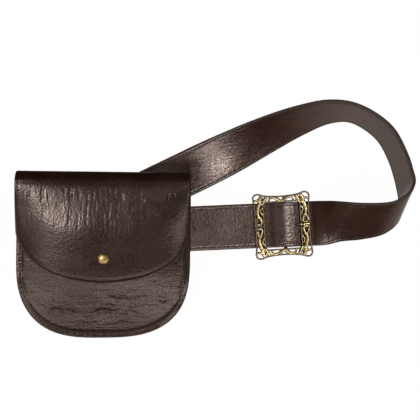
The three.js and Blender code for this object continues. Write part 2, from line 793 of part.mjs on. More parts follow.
// Prong: ring and arm in one outline, as thick as the prong is wide
function buckleProng() {
  const upper = PRONG_ARM.map((row) => new THREE.Vector2(row.u, row.z + row.half));
  const lower = PRONG_ARM.map((row) => new THREE.Vector2(row.u, row.z - row.half));
  const arm = new THREE.Shape([...lower, ...upper.reverse()]);
  const ring = new THREE.Shape().absarc(BAR.u, BAR.z, PRONG.ringOuter, 0, 2 * Math.PI);
  ring.holes.push(new THREE.Path().absarc(BAR.u, BAR.z, PRONG.ringInner, 0, 2 * Math.PI));
  const upright = [arm, ring].map((shape) => {
    const made = new THREE.ExtrudeGeometry(shape, {
      depth: PRONG.width,
      bevelEnabled: false,
      curveSegments: PRONG.ringSides,
    });
    made.rotateX(Math.PI / 2);
    made.translate(0, PRONG.width / 2, 0);
    return made;
  });
  return onRun(joined(upright));
}

// The assembly
const bag = new THREE.Group();
bag.name = "hip_bag";

function piece(name, geometry, colour, metal, onPouch) {
  const material = new THREE.MeshStandardMaterial({
    color: colour,
    roughness: metal ? 0.35 : 0.55,
    metalness: metal ? 1 : 0,
  });
  const mesh = new THREE.Mesh(geometry, material);
  mesh.name = name;
  if (onPouch) {
    mesh.position.set(POUCH.x, POUCH.y, 0);
    mesh.rotation.z = degrees(POUCH.turn);
  }
  bag.add(mesh);
}

piece("back_panel", backPanel(), COLOUR.leather, false, true);
piece("front_panel", cut(frontPanel(), [snapHole(snapPanelZ())]), COLOUR.leather, false, true);
piece("flap", cut(flap(), [snapHole(snapFlapZ)]), COLOUR.leather, false, true);
piece("belt_loop", beltLoop(), COLOUR.leather, false, true);
piece("belt_strap", belt(), COLOUR.belt, false, false);
piece("buckle_frame", buckleFrame(), COLOUR.brass, true, false);
piece("buckle_prong", buckleProng(), COLOUR.brass, true, false);
piece("snap_cap", snapCap(), COLOUR.brass, true, true);
piece("snap_post", snapPost(), COLOUR.brass, true, true);

export default bag;
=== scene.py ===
"""Hip bag in its studio: leather pouch, belt, pierced brass buckle and snap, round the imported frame.

All shapes are worked out in millimetres in the frame of the CAD model and put into meshes in metres.
"""

import logging
from collections.abc import Callable, Sequence
from dataclasses import dataclass, field, replace
from enum import Enum
from typing import NamedTuple, Union

import bmesh
import bpy
import numpy as np
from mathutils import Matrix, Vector
from numpy.typing import NDArray


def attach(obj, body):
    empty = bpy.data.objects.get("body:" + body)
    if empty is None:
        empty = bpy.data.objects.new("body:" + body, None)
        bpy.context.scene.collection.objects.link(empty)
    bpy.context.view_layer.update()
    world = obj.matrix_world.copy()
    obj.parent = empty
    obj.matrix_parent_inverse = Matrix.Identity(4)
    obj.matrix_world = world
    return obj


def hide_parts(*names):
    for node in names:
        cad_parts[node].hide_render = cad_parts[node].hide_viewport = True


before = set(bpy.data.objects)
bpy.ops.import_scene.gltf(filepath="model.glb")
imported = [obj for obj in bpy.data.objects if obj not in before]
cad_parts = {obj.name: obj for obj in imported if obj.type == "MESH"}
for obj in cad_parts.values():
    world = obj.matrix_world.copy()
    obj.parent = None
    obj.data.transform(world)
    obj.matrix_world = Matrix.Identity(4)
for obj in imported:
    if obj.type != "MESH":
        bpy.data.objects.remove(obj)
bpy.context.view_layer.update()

Array = NDArray[np.float64]
Faces = NDArray[np.int64]
Colour = tuple[float, float, float]
HeightOf = Callable[[Array, Array], Array]
Move = Callable[[Array], Array]

LOG = logging.getLogger("hip_bag")
BODY = "root"

# One millimetre in metres, the distance at which points are one, and a divisor in place of nothing
MM = 0.001
WELD = 1e-6
TINY = 1e-9

# How far in from a cut edge its dull finish fades, in millimetres
EDGE_FADE = 1.1

UP = np.array([0.0, 0.0, 1.0])
DOWN = np.array([0.0, 0.0, -1.0])


# Arithmetic on arrays


def column(rows: Sequence[NamedTuple], name: str) -> Array:
    """One named column of a table as an array."""
    return np.array([getattr(row, name) for row in rows], dtype=float)


def side_by_side(rows: Sequence[NamedTuple], *names: str) -> Array:
    """Named columns of a table, one to each column of an array."""
    return np.stack([column(rows, name) for name in names], axis=1)


def smooth(low: float, high: float, at: Array) -> Array:
    """Smooth step: 0 at low, 1 at high, with level ends (3t2 - 2t3)."""
    t = np.clip((np.asarray(at, dtype=float) - low) / (high - low), 0.0, 1.0)
    return t * t * (3.0 - 2.0 * t)


def bell(at: Array, middle: float, reach: float) -> Array:
    """Bell curve: the exponential of minus the square of the distance from the middle over the reach."""
    return np.exp(-(((at - middle) / reach) ** 2))


def full_turn(sides: int) -> Array:
    """Even angles round a circle, without its start again at the end."""
    return np.linspace(0, 2 * np.pi, sides, endpoint=False)


def unit(vectors: Array) -> Array:
    """Vectors along the last axis, each divided by its length."""
    return vectors / np.maximum(np.linalg.norm(vectors, axis=-1, keepdims=True), TINY)


def table_at(rows: Sequence[NamedTuple], key: str, name: str, at: Array) -> Array:
    """Reads a table between its rows: cubic Hermite pieces, with a slope at a row from its neighbours.

    Args:
        rows: The table, in rising order of its key.
        key: The column that is looked up.
        name: The column that is read.
        at: The keys to read at.

    Returns:
        The column's value at each key.
    """
    x = column(rows, key)
    y = column(rows, name)
    before = np.maximum(np.arange(len(x)) - 1, 0)
    after = np.minimum(np.arange(len(x)) + 1, len(x) - 1)
    slope = (y[after] - y[before]) / (x[after] - x[before])
    k = np.clip(np.searchsorted(x, at, side="right") - 1, 0, len(x) - 2)
    span = x[k + 1] - x[k]
    t = np.clip((at - x[k]) / span, 0.0, 1.0)
    return (
        (2 * t**3 - 3 * t**2 + 1) * y[k]
        + (t**3 - 2 * t**2 + t) * span * slope[k]
        + (3 * t**2 - 2 * t**3) * y[k + 1]
        + (t**3 - t**2) * span * slope[k + 1]
    )


class Spacing(Enum):
    """How a curve's speed is shared out between its points."""

    UNIFORM = 0.0
    CENTRIPETAL = 0.25


def catmull_rom(points: Array, per_span: int, spacing: Spacing, closed: bool = False) -> Array:
    """A Catmull-Rom curve: a cubic through each pair of points, with slopes taken from the points round it.

    Args:
        points: One point a row.
        per_span: Samples between two points.
        spacing: Uniform, or centripetal with knots at the square root of each distance.
        closed: True for a curve that returns to its first point.

    Returns:
        The samples in order; an open curve ends on its last point.
    """
    if closed:
        ring = np.vstack([points[-1:], points, points[:2]])
    else:
        ring = np.vstack([2 * points[0] - points[1], points, 2 * points[-1] - points[-2]])
    p0, p1, p2, p3 = (ring[k : len(ring) - 3 + k, None, :] for k in range(4))

    def knot(a: Array, b: Array) -> Array:
        """The knot distance between two points, never nothing."""
        return np.maximum(np.sum((b - a) ** 2, axis=-1, keepdims=True), TINY) ** spacing.value

    d0, d1, d2 = knot(p0, p1), knot(p1, p2), knot(p2, p3)
    if spacing is Spacing.UNIFORM:
        start, end = (p2 - p0) / 2, (p3 - p1) / 2
    else:
        start = ((p1 - p0) / d0 - (p2 - p0) / (d0 + d1) + (p2 - p1) / d1) * d1
        end = ((p2 - p1) / d1 - (p3 - p1) / (d1 + d2) + (p3 - p2) / d2) * d1
    t = (np.arange(per_span) / per_span)[None, :, None]
    curve = (
        p1
        + start * t
        + (3 * (p2 - p1) - 2 * start - end) * t**2
        + (2 * (p1 - p2) + start + end) * t**3
    ).reshape(-1, points.shape[1])
    return curve if closed else np.vstack([curve, points[-1:]])


def lengths_along(path: Array) -> Array:
    """Length of the path from its start to each of its points."""
    steps = np.linalg.norm(np.diff(path, axis=0), axis=1)
    return np.concatenate([[0.0], np.cumsum(steps)])


def read_along(lengths: Array, values: Array, stops: Array) -> Array:
    """Columns of values, known at lengths along a path, read at other stops."""
    return np.stack([np.interp(stops, lengths, v) for v in values.T], axis=1)


class Dent(NamedTuple):
    """A broad dent: its middle, its reach along x and y, and its depth."""

    x: float
    y: float
    reach_x: float
    reach_y: float
    depth: float


def dents_at(dents: Sequence[Dent], x: Array, y: Array) -> Array:
    """Depth of all the dents at a point: each is a bell curve round its middle."""
    return sum(d.depth * bell(x, d.x, d.reach_x) * bell(y, d.y, d.reach_y) for d in dents)


class Noise:
    """Smooth noise between -1 and 1, from a seeded table of numbers.

    Lines are read along one row of the table, and the gaps in them from a place further on, with soft ends.
    """

    SIDE = 128
    LINE_ROW = 3.5
    GAP_FROM = 31.0
    GAP_FADE = 0.4

    def __init__(self, seed: int) -> None:
        """Draws the table from its seed."""
        self.table = np.random.default_rng(seed).uniform(-1.0, 1.0, (self.SIDE, self.SIDE))

    def at(self, x: Array, y: Array) -> Array:
        """Blends the four table numbers round a point with smooth weights.

        Args:
            x: First coordinate, one table cell to the unit.
            y: Second coordinate, the same shape.

        Returns:
            The noise at each point.
        """
        i, j = np.floor(x).astype(int), np.floor(y).astype(int)
        u, v = smooth(0, 1, x - i), smooth(0, 1, y - j)
        i0, i1, j0, j1 = i % self.SIDE, (i + 1) % self.SIDE, j % self.SIDE, (j + 1) % self.SIDE
        low = self.table[i0, j0] * (1 - u) + self.table[i1, j0] * u
        high = self.table[i0, j1] * (1 - u) + self.table[i1, j1] * u
        return low * (1 - v) + high * v

    def lines(self, across: Array, along: Array, width: float) -> Array:
        """Thin lines that come and go: a bell curve about each place where the noise across passes nothing.

        Args:
            across: Coordinate square to the lines, one cell to the unit.
            along: Coordinate along the lines, one cell to the unit.
            width: Half width of a line, in cells.

        Returns:
            1 on a line, fading to 0 beside it and where the line ends.
        """
        line = bell(self.at(across, np.full_like(across, self.LINE_ROW)), 0.0, width)
        return line * smooth(-self.GAP_FADE, self.GAP_FADE, self.at(across / 2 + self.GAP_FROM, along))


class Sway(NamedTuple):
    """One wave in the wander of crease lines: reach in spacings, size of its cells and their start."""

    reach: float
    cell_x: float
    cell_y: float
    start: float = 0.0

    def at(self, noise: Noise, x: Array, y: Array) -> Array:
        """How far the wave pushes a line aside at each point."""
        return self.reach * noise.at(x / self.cell_x + self.start, y / self.cell_y)


class CreaseLines(NamedTuple):
    """A family of crease lines: spacing, length of a stretch, half width in spacings, depth and start."""

    apart: float
    stretch: float
    half_width: float
    depth: float
    start: float = 0.0

    def at(self, noise: Noise, across: Array, along: Array, wander: Array) -> Array:
        """Depth of the lines at each point, with their wander in spacings."""
        place = across / self.apart + wander + self.start
        return self.depth * noise.lines(place, along / self.stretch, self.half_width)


@dataclass
class Creasing:
    """Crease lines of one leather wall, which wander together."""

    line_seed: int
    wander_seed: int
    sways: tuple[Sway, ...]
    families: tuple[CreaseLines, ...]

    def __post_init__(self) -> None:
        """Draws both tables of noise."""
        self.lines, self.wander = Noise(self.line_seed), Noise(self.wander_seed)

    def at(self, x: Array, y: Array, upright: bool) -> list[Array]:
        """Depth of each family's lines.

        Args:
            x: Across the pouch.
            y: Up the pouch.
            upright: True for lines that run up the pouch, otherwise they lie across it.

        Returns:
            One array of depths for each family, in order.
        """
        wander = sum(sway.at(self.wander, x, y) for sway in self.sways)
        across, along = (x, y) if upright else (y, x)
        return [family.at(self.lines, across, along, wander) for family in self.families]


# Meshes


@dataclass
class Shell:
    """A closed surface: points in millimetres, faces by index, and what its finish reads.

    Quads and triangles are kept apart, so that each is one whole array.
    """

    points: Array
    quads: Faces
    triangles: Faces = field(default_factory=lambda: np.zeros((0, 3), dtype=int))
    corner_uv: Union[Array, None] = None
    edge: Union[Array, None] = None

    def volume(self) -> float:
        """Signed volume: the sum over all faces of the box product of their corners, over six."""
        halves = np.vstack([self.triangles, self.quads[:, :3], self.quads[:, [0, 2, 3]]])
        a, b, c = (self.points[halves[:, k]] for k in range(3))
        return float(np.sum(a * np.cross(b, c)) / 6.0)

    def moved(self, move: Move) -> "Shell":
        """The same shell with its points moved."""
        return replace(self, points=move(self.points))

    def outward(self) -> "Shell":
        """The same shell with its faces, and the UV of their corners, turned to point outwards."""
        if self.volume() >= 0:
            return self
        uv = self.corner_uv
        if uv is not None:
            split = 4 * len(self.quads)
            parts = uv[:split].reshape(-1, 4, 2), uv[split:].reshape(-1, 3, 2)
            uv = np.vstack([part[:, ::-1].reshape(-1, 2) for part in parts])
        return replace(self, quads=self.quads[:, ::-1], triangles=self.triangles[:, ::-1], corner_uv=uv)

    def make(self, name: str) -> bpy.types.Object:
        """Puts the shell into a mesh object at the origin, with equal points joined and smooth faces.

        Args:
            name: The piece's name.

        Returns:
            The new object.
        """
        shell = self.outward()
        mesh = bpy.data.meshes.new(name)
        faces = [*shell.quads.tolist(), *shell.triangles.tolist()]
        mesh.from_pydata((shell.points * MM).tolist(), [], faces)
        if shell.corner_uv is not None:
            mesh.uv_layers.new(name="along").uv.foreach_set("vector", (shell.corner_uv * MM).ravel())
        if shell.edge is not None:
            layer = mesh.attributes.new("edge", "FLOAT", "POINT")
            layer.data.foreach_set("value", shell.edge.ravel())
        made = bmesh.new()
        made.from_mesh(mesh)
        bmesh.ops.remove_doubles(made, verts=made.verts, dist=WELD)
        made.to_mesh(mesh)
        made.free()
        shade_smooth(mesh)
        mesh.update()
        piece = bpy.data.objects.new(name, mesh)
        bpy.context.scene.collection.objects.link(piece)
        return piece


def shade_smooth(mesh: bpy.types.Mesh) -> None:
    """Marks every face of a mesh as smooth."""
    mesh.polygons.foreach_set("use_smooth", np.ones(len(mesh.polygons), dtype=bool))


def grid_quads(rows: int, columns: int, wrap: bool) -> Faces:
    """Quads of a grid of points kept row by row; with wrap, the last column joins the first."""
    i, j = np.meshgrid(np.arange(rows - 1), np.arange(columns if wrap else columns - 1), indexing="ij")
    k = (j + 1) % columns
    quads = [i * columns + j, (i + 1) * columns + j, (i + 1) * columns + k, i * columns + k]
    return np.stack(quads, axis=-1).reshape(-1, 4)


def joined(shells: Sequence[Shell]) -> Shell:
    """Several shells as one, each kept closed and facing out."""
    turned = [shell.outward() for shell in shells]
    starts = np.cumsum([0] + [len(shell.points) for shell in turned])
    return Shell(
        np.vstack([shell.points for shell in turned]),
        np.vstack([shell.quads + start for shell, start in zip(turned, starts)]),
        np.vstack([shell.triangles + start for shell, start in zip(turned, starts)]),
    )


def wall(middle: Array, normal: Array, thick: float, inset: Array) -> Shell:
    """A leather wall: its middle surface set off to both sides along the normal, with a round cut edge.

    Near the edge the half thickness is a circle's: h * sqrt(1 - (1 - inset/h)2), so both sides meet there.

    Args:
        middle: Grid of points on the middle surface.
        normal: Unit normals of the same grid.
        thick: Thickness of the wall.
        inset: Distance of each point from the wall's edge.

    Returns:
        The closed wall, with its edge mark fading over EDGE_FADE.
    """
    half = thick / 2
    short = 1.0 - np.clip(inset / half, 0.0, 1.0)
    reach = (half * np.sqrt(1.0 - short**2))[..., None]
    rows, columns = middle.shape[:2]
    quads = grid_quads(rows, columns, False)
    points = np.vstack([(middle + normal * reach).reshape(-1, 3), (middle - normal * reach).reshape(-1, 3)])
    mark = bell(inset, 0.0, EDGE_FADE).ravel()
    both = np.vstack([quads, quads[:, ::-1] + rows * columns])
    return Shell(points, both, edge=np.concatenate([mark, mark]))


def carried(path: Array, side: Array, up: Array, profile: Array) -> Shell:
    """A closed profile carried along a path, with a fan over each end.

    Each point is path + side * profile x + up * profile y.

    Args:
        path: Points of the path.
        side: Unit vectors of the profile's x at each point.
        up: Unit vectors of the profile's y at each point.
        profile: The profile's points, one for all sections or one set for each.

    Returns:
        The closed body, with its length and its girth as UV.
    """
    profiles = np.broadcast_to(profile, (len(path),) + profile.shape[-2:])
    points = path[:, None] + side[:, None] * profiles[..., :1] + up[:, None] * profiles[..., 1:]
    rows, columns = points.shape[:2]
    quads = grid_quads(rows, columns, True)
    ends = np.stack([points[0].mean(axis=0), points[-1].mean(axis=0)])
    k = np.arange(columns)
    following = (k + 1) % columns
    first = np.stack([np.full(columns, rows * columns), k, following], axis=1)
    shift = (rows - 1) * columns
    last = np.stack([np.full(columns, rows * columns + 1), shift + following, shift + k], axis=1)
    girth = lengths_along(np.vstack([profiles[0], profiles[0][:1]]))
    length = lengths_along(path)
    corners_u = np.stack([length[:-1], length[1:], length[1:], length[:-1]], axis=-1)
    corners_v = np.stack([girth[:-1], girth[:-1], girth[1:], girth[1:]], axis=-1)
    u = np.broadcast_to(corners_u[:, None, :], (rows - 1, columns, 4))
    v = np.broadcast_to(corners_v[None, :, :], (rows - 1, columns, 4))
    uv = np.stack([u, v], axis=-1).reshape(-1, 2)
    caps = np.zeros((6 * columns, 2))
    return Shell(
        np.vstack([points.reshape(-1, 3), ends]),
        quads,
        np.vstack([first, last]),
        np.vstack([uv, caps]),
    )


def turned_shape(profile: Array, x: float, y: float, sides: int) -> Shell:
    """A profile of radius and height turned about the vertical through x and y."""
    angle = full_turn(sides)
    radius, height = profile[:, :1], np.broadcast_to(profile[:, 1:], (len(profile), sides))
    points = np.stack([x + radius * np.cos(angle), y + radius * np.sin(angle), height], axis=-1)
    return Shell(points.reshape(-1, 3), grid_quads(len(profile), sides, True))


@dataclass(frozen=True)
class Stitch:
    """One stitch of thread: a short rounded bead, and the pitch it is sewn at."""

    pitch: float = 2.7
    length: float = 1.7
    width: float = 1.1
    height: float = 0.55
    places: tuple[float, ...] = (-0.5, -0.42, -0.16, 0.16, 0.42, 0.5)
    girths: tuple[float, ...] = (0.02, 0.7, 1.0, 1.0, 0.7, 0.02)
    sides: int = 6

    def bead(self) -> tuple[Array, Faces]:
        """The bead about its own middle: rings of a rounded bar whose ends close to a point.

        Returns:
            Points along, aside and up, ring by ring, and the quads between the rings.
        """
        along = np.array(self.places) * self.length
        girth = np.array(self.girths) / 2
        angle = full_turn(self.sides)
        aside = girth[:, None] * self.width * np.cos(angle)
        up = girth[:, None] * self.height * np.sin(angle)
        points = np.stack([np.broadcast_to(along[:, None], aside.shape), aside, up], axis=-1)
        return points.reshape(-1, 3), grid_quads(len(along), self.sides, True)

    def row(self, line: Array, up: Array) -> Shell:
        """A row of stitches: a bead at each pitch along a line, along the line and square to the surface.

        Args:
            line: Points of the sewn line on the surface.
            up: Outward directions of the surface at those points.

        Returns:
            All the beads as one shell.
        """
        lengths = lengths_along(line)
        stops = np.arange(self.pitch / 2, lengths[-1], self.pitch)
        forward = unit(read_along(lengths, np.gradient(line, axis=0), stops))
        normal = read_along(lengths, up, stops)
        normal = unit(normal - forward * np.sum(normal * forward, axis=1, keepdims=True))
        aside = np.cross(normal, forward)
        bead, quads = self.bead()
        axes = np.stack([forward, aside, normal], axis=1)
        points = read_along(lengths, line, stops)[:, None] + np.einsum("pk,skx->spx", bead, axes)
        shift = np.arange(len(stops))[:, None, None] * len(bead)
        return Shell(points.reshape(-1, 3), (quads[None] + shift).reshape(-1, 4))


# Finishes


Value = Union["Socket", float, tuple[float, ...]]

# Sockets of a Mix node that blends colours: factor, first and second colour, and result
MIX_FACTOR, MIX_FIRST, MIX_SECOND, MIX_RESULT = 0, 6, 7, 2


class Socket:
    """A node's output. Arithmetic on it adds Math nodes to its tree."""

    def __init__(self, paint: "Paint", port: bpy.types.NodeSocket) -> None:
        """Keeps the port and the tree that it belongs to."""
        self.paint = paint
        self.port = port

    def _math(self, operation: str, first: Value, second: Value) -> "Socket":
        """A Math node on two values."""
        return self.paint.node("ShaderNodeMath", {"operation": operation}, {0: first, 1: second})

    def __add__(self, other: Value) -> "Socket":
        """Sum of two values."""
        return self._math("ADD", self, other)

    def __radd__(self, other: Value) -> "Socket":
        """Sum with a number on the left."""
        return self._math("ADD", other, self)

    def __sub__(self, other: Value) -> "Socket":
        """Difference of two values."""
        return self._math("SUBTRACT", self, other)

    def __rsub__(self, other: Value) -> "Socket":
        """Difference from a number on the left."""
        return self._math("SUBTRACT", other, self)

    def __mul__(self, other: Value) -> "Socket":
        """Product of two values."""
        return self._math("MULTIPLY", self, other)

    def __rmul__(self, other: Value) -> "Socket":
        """Product with a number on the left."""
        return self._math("MULTIPLY", other, self)

    def __abs__(self) -> "Socket":
        """Size of a value without its sign."""
        return self._math("ABSOLUTE", self, 0.0)

    def step(self, low: float, high: float) -> "Socket":
        """Smooth step of the value from 0 at low to 1 at high."""
        ends = {"Value": self, "From Min": low, "From Max": high}
        return self.paint.node("ShaderNodeMapRange", {"interpolation_type": "SMOOTHSTEP"}, ends)


class Paint:
    """Nodes of one tree, made one at a time."""

    def __init__(self, tree: bpy.types.NodeTree) -> None:
        """Takes a tree and empties it."""
        self.tree = tree
        tree.nodes.clear()

    def node(
        self,
        kind: str,
        settings: Union[dict[str, object], None] = None,
        inputs: Union[dict[Union[str, int], Value], None] = None,
        out: Union[str, int] = 0,
    ) -> Socket:
        """Adds a node.

        Args:
            kind: The node's type.
            settings: Its properties, set first.
            inputs: Values or links of its sockets, by name or number.
            out: The output to return, by name or number.

        Returns:
            That output, ready for arithmetic.
        """
        made = self.tree.nodes.new(kind)
        for name, value in (settings or {}).items():
            setattr(made, name, value)
        for name, value in (inputs or {}).items():
            if isinstance(value, Socket):
                self.tree.links.new(value.port, made.inputs[name])
            else:
                made.inputs[name].default_value = value
        port = made.outputs[out] if len(made.outputs) else None
        return Socket(self, port)

    def blend(self, factor: Value, first: Value, second: Value) -> Socket:
        """A colour between two colours."""
        inputs = {MIX_FACTOR: factor, MIX_FIRST: opaque(first), MIX_SECOND: opaque(second)}
        return self.node("ShaderNodeMix", {"data_type": "RGBA"}, inputs, MIX_RESULT)

    def noise(self, place: Socket, scale: float, detail: float, roughness: float = 0.55) -> Socket:
        """Noise between 0 and 1 at so many features to the metre."""
        inputs = {"Vector": place, "Scale": scale, "Detail": detail, "Roughness": roughness}
        return self.node("ShaderNodeTexNoise", {}, inputs)

    def stretched(self, place: Socket, scale: tuple[float, float, float], turn: float = 0.0) -> Socket:
        """Coordinates turned about Z, then scaled by axis."""
        inputs = {"Vector": place, "Scale": tuple(1 / s for s in scale), "Rotation": (0.0, 0.0, turn)}
        return self.node("ShaderNodeMapping", {"vector_type": "TEXTURE"}, inputs)

    def surface(self, inputs: dict[Union[str, int], Value]) -> None:
        """Ends a material with its shader."""
        shader = self.node("ShaderNodeBsdfPrincipled", {}, inputs)
        self.node("ShaderNodeOutputMaterial", {}, {"Surface": shader})


def opaque(colour: Value) -> Value:
    """A colour with its alpha; a link is passed on."""
    return colour if isinstance(colour, Socket) else (*colour, 1.0)


def new_material(name: str) -> tuple[bpy.types.Material, Paint]:
    """An empty node material and the paint for its tree."""
    material = bpy.data.materials.new(name)
    material.use_nodes = True
    return material, Paint(material.node_tree)


class Lay(Enum):
    """What a leather's pattern is laid on: its place in the bag, or the length of a strap."""

    PLACE = "Object"
    LENGTH = "UV"


@dataclass(frozen=True)
class Leather:
    """Glossy grained artificial leather: pebbles, fine creases, mottled colour and dull dark cut edges."""

    name: str
    lay: Lay
    deep: Colour = (0.005, 0.0013, 0.0007)
    worn: Colour = (0.0155, 0.0048, 0.0025)
    cut: Colour = (0.007, 0.0026, 0.0016)
    sheen: Colour = (1.0, 0.81, 0.72)
    gloss: float = 0.23
    gloss_broad: float = 0.05
    gloss_pebble: float = 0.14
    gloss_cut: float = 0.5
    specular: float = 0.42
    broad_per_m: float = 34.0
    broad_range: tuple[float, float] = (0.3, 0.72)
    broad_share: float = 0.45
    cut_range: tuple[float, float] = (0.15, 0.95)
    fine_detail: tuple[float, float] = (1.0, 0.4)
    grain_mm: float = 2.0
    mottle_mm: float = 2.8
    crease_mm: float = 3.0
    drawn: tuple[float, float, float] = (0.16, 1.0, 1.0)
    turn: float = 0.06
    mottled: float = 0.45
    pebbled: float = 0.8
    creased: float = 0.4
    relief_mm: float = 0.2

    def material(self) -> bpy.types.Material:
        """Builds the leather.

        Returns:
            The material: colour from broad noise, roughness from the grain, relief from grain and creases.
        """
        material, paint = new_material(self.name)
        place = paint.node("ShaderNodeTexCoord", {}, {}, self.lay.value)
        broad = paint.noise(place, self.broad_per_m, 3.0).step(*self.broad_range)
        mottle = paint.noise(place, 1 / (self.mottle_mm * MM), *self.fine_detail)
        pebble = paint.node(
            "ShaderNodeTexVoronoi",
            {"feature": "SMOOTH_F1"},
            {"Vector": place, "Scale": 1 / (self.grain_mm * MM), "Smoothness": 0.5},
            "Distance",
        )
        drawn = paint.stretched(place, self.drawn, self.turn)
        crease = paint.noise(drawn, 1 / (self.crease_mm * MM), *self.fine_detail)
        edge = paint.node("ShaderNodeAttribute", {"attribute_name": "edge"}, {}, "Fac")
        cut = edge.step(*self.cut_range)
        ground = paint.blend(broad * self.broad_share + (1.0 - pebble) * mottle, self.deep, self.worn)
        height = mottle * self.mottled - pebble * self.pebbled + crease * self.creased
        normal = paint.node(
            "ShaderNodeBump",
            {},
            {"Strength": 1.0, "Distance": self.relief_mm * MM, "Height": height},
        )
        rough = self.gloss + self.gloss_broad * broad + self.gloss_pebble * pebble + self.gloss_cut * cut
        paint.surface(
            {
                "Base Color": paint.blend(cut, ground, self.cut),
                "Roughness": rough,
                "Specular IOR Level": self.specular,
                "Specular Tint": opaque(self.sheen),
                "Normal": normal,
            }
        )
        return material


@dataclass(frozen=True)
class Thread:
    """Waxed dark brown sewing thread with a twist."""

    name: str = "sewing_thread"
    dark: Colour = (0.003, 0.002, 0.0015)
    light: Colour = (0.012, 0.007, 0.005)
    strands_per_m: float = 2600.0
    tone_range: tuple[float, float] = (0.35, 0.7)
    relief_mm: float = 0.1
    strength: float = 0.6
    rough: float = 0.8
    specular: float = 0.2

    def material(self) -> bpy.types.Material:
        """Builds the thread: two browns in fine noise, with a fine relief.

        Returns:
            The material.
        """
        material, paint = new_material(self.name)
        place = paint.node("ShaderNodeTexCoord", {}, {}, "Object")
        strand = paint.noise(place, self.strands_per_m, 2.0)
        relief = {"Strength": self.strength, "Distance": self.relief_mm * MM, "Height": strand}
        normal = paint.node("ShaderNodeBump", {}, relief)
        paint.surface(
            {
                "Base Color": paint.blend(strand.step(*self.tone_range), self.dark, self.light),
                "Roughness": self.rough,
                "Specular IOR Level": self.specular,
                "Normal": normal,
            }
        )
        return material


@dataclass(frozen=True)
class Brass:
    """Brass whose crests are worn bright and whose hollows keep a dark patina; on the snap the dark low rim
    is painted shade instead of patina.

    The hollows start at one height above the table and the crests at another.
    """

    name: str
    hollow: Colour
    crest: Colour
    hollow_z: float
    crest_z: float
    rough_hollow: float = 0.55
    rough_crest: float = 0.34
    rough_spots: float = 0.12
    metal_hollow: float = 0.35
    spots_per_m: float = 900.0
    spots_mm: float = 0.25
    pits_per_m: float = 2400.0
    pits_mm: float = 0.08
    pits_strength: float = 0.35

    def material(self) -> bpy.types.Material:
        """Builds the brass: colour, metal and roughness go from hollow to crest by height, broken by noise.

        Returns:
            The material.
        """
        material, paint = new_material(self.name)
        place = paint.node("ShaderNodeTexCoord", {}, {}, "Object")
        height = paint.node("ShaderNodeSeparateXYZ", {}, {"Vector": place}, "Z")
        spots = paint.noise(place, self.spots_per_m, 3.0) - 0.5
        broken = height + spots * (self.spots_mm * MM)
        # Share from dark to bright by height: worn bright crests over dark patina on the buckle, and on the
        # snap the dark share is painted shade on the low rim
        rubbed_crest_and_painted_shade = broken.step(self.hollow_z * MM, self.crest_z * MM)
        pits = paint.noise(place, self.pits_per_m, 2.0)
        relief = {"Strength": self.pits_strength, "Distance": self.pits_mm * MM, "Height": pits}
        smoother = (self.rough_crest - self.rough_hollow) * rubbed_crest_and_painted_shade
        paint.surface(
            {
                "Base Color": paint.blend(rubbed_crest_and_painted_shade, self.hollow, self.crest),
                "Metallic": self.metal_hollow + (1.0 - self.metal_hollow) * rubbed_crest_and_painted_shade,
                "Roughness": self.rough_hollow + smoother + self.rough_spots * spots,
                "Normal": paint.node("ShaderNodeBump", {}, relief),
            }
        )
        return material


class Look(Enum):
    """The finishes: the record's material slot of each, and what it is used on."""

    PANEL = ("pouch_leather", "panels and tunnel")
    FLAP = ("pouch_leather", "flap")
    BELT = ("belt_leather", "strap")
    CAST = ("antique_brass", "buckle and prong")
    BRIGHT = ("bright_brass", "snap")
    THREAD = ("sewing_thread", "stitches")


FINISHES: dict[Look, Union[Leather, Brass, Thread]] = {
    Look.PANEL: Leather("panel_leather", Lay.PLACE, pebbled=0.6, creased=0.7, relief_mm=0.25),
    Look.FLAP: Leather("flap_leather", Lay.PLACE, drawn=(1.0, 0.2, 1.0), relief_mm=0.125),
    Look.BELT: Leather("belt_leather", Lay.LENGTH, turn=-0.3, pebbled=0.65, creased=0.7, relief_mm=0.17),
    Look.CAST: Brass(
        "cast_brass",
        hollow=(0.009, 0.006, 0.003),
        crest=(0.2, 0.147, 0.07),
        hollow_z=11.28,
        crest_z=11.8,
    ),
    # Snap: below crest_z its rim and stud are darkened as painted shade, a ring of shadow round the cap; the
    # dome above is plain polished brass
    Look.BRIGHT: Brass(
        "polished_brass",
        hollow=(0.04, 0.022, 0.008),
        crest=(0.25, 0.165, 0.065),
        hollow_z=35.0,
        crest_z=35.8,
        rough_hollow=0.5,
        rough_crest=0.4,
    ),
    Look.THREAD: Thread(),
}


@dataclass
class Finishes:
    """One material for each finish, made once."""

    materials: dict[Look, bpy.types.Material] = field(default_factory=dict)
    dressed: list[bpy.types.Object] = field(default_factory=list)

    def build(self) -> None:
        """Makes the material of every finish."""
        self.materials = {look: finish.material() for look, finish in FINISHES.items()}

    def dress(self, piece: bpy.types.Object, look: Look, *nodes: str) -> None:
        """Gives a piece its finish and its body, and hides the CAD solids that it stands for.

        Args:
            piece: The finished object.
            look: Its finish.
            nodes: The CAD nodes that it replaces.
        """
        piece.data.materials.clear()
        piece.data.materials.append(self.materials[look])
        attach(piece, BODY)
        if nodes:
            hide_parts(*nodes)
        self.dressed.append(piece)

    def fresh(self) -> list[bpy.types.Object]:
        """The pieces dressed since this was last asked."""
        pieces, self.dressed = self.dressed, []
        return pieces


# Pouch


@dataclass(frozen=True)
class PouchPlace:
    """Where the pouch lies: its bottom middle on the table, and its turn in plan in degrees."""

    x: float = -98.6
    y: float = -105.7
    turn: float = -0.7

    def on_table(self, points: Array) -> Array:
        """Points of the pouch's own axes turned about the vertical and moved to the table."""
        c, s = np.cos(np.radians(self.turn)), np.sin(np.radians(self.turn))
        x, y, z = np.moveaxis(points, -1, 0)
        return np.stack([self.x + c * x - s * y, self.y + s * x + c * y, z], axis=-1)


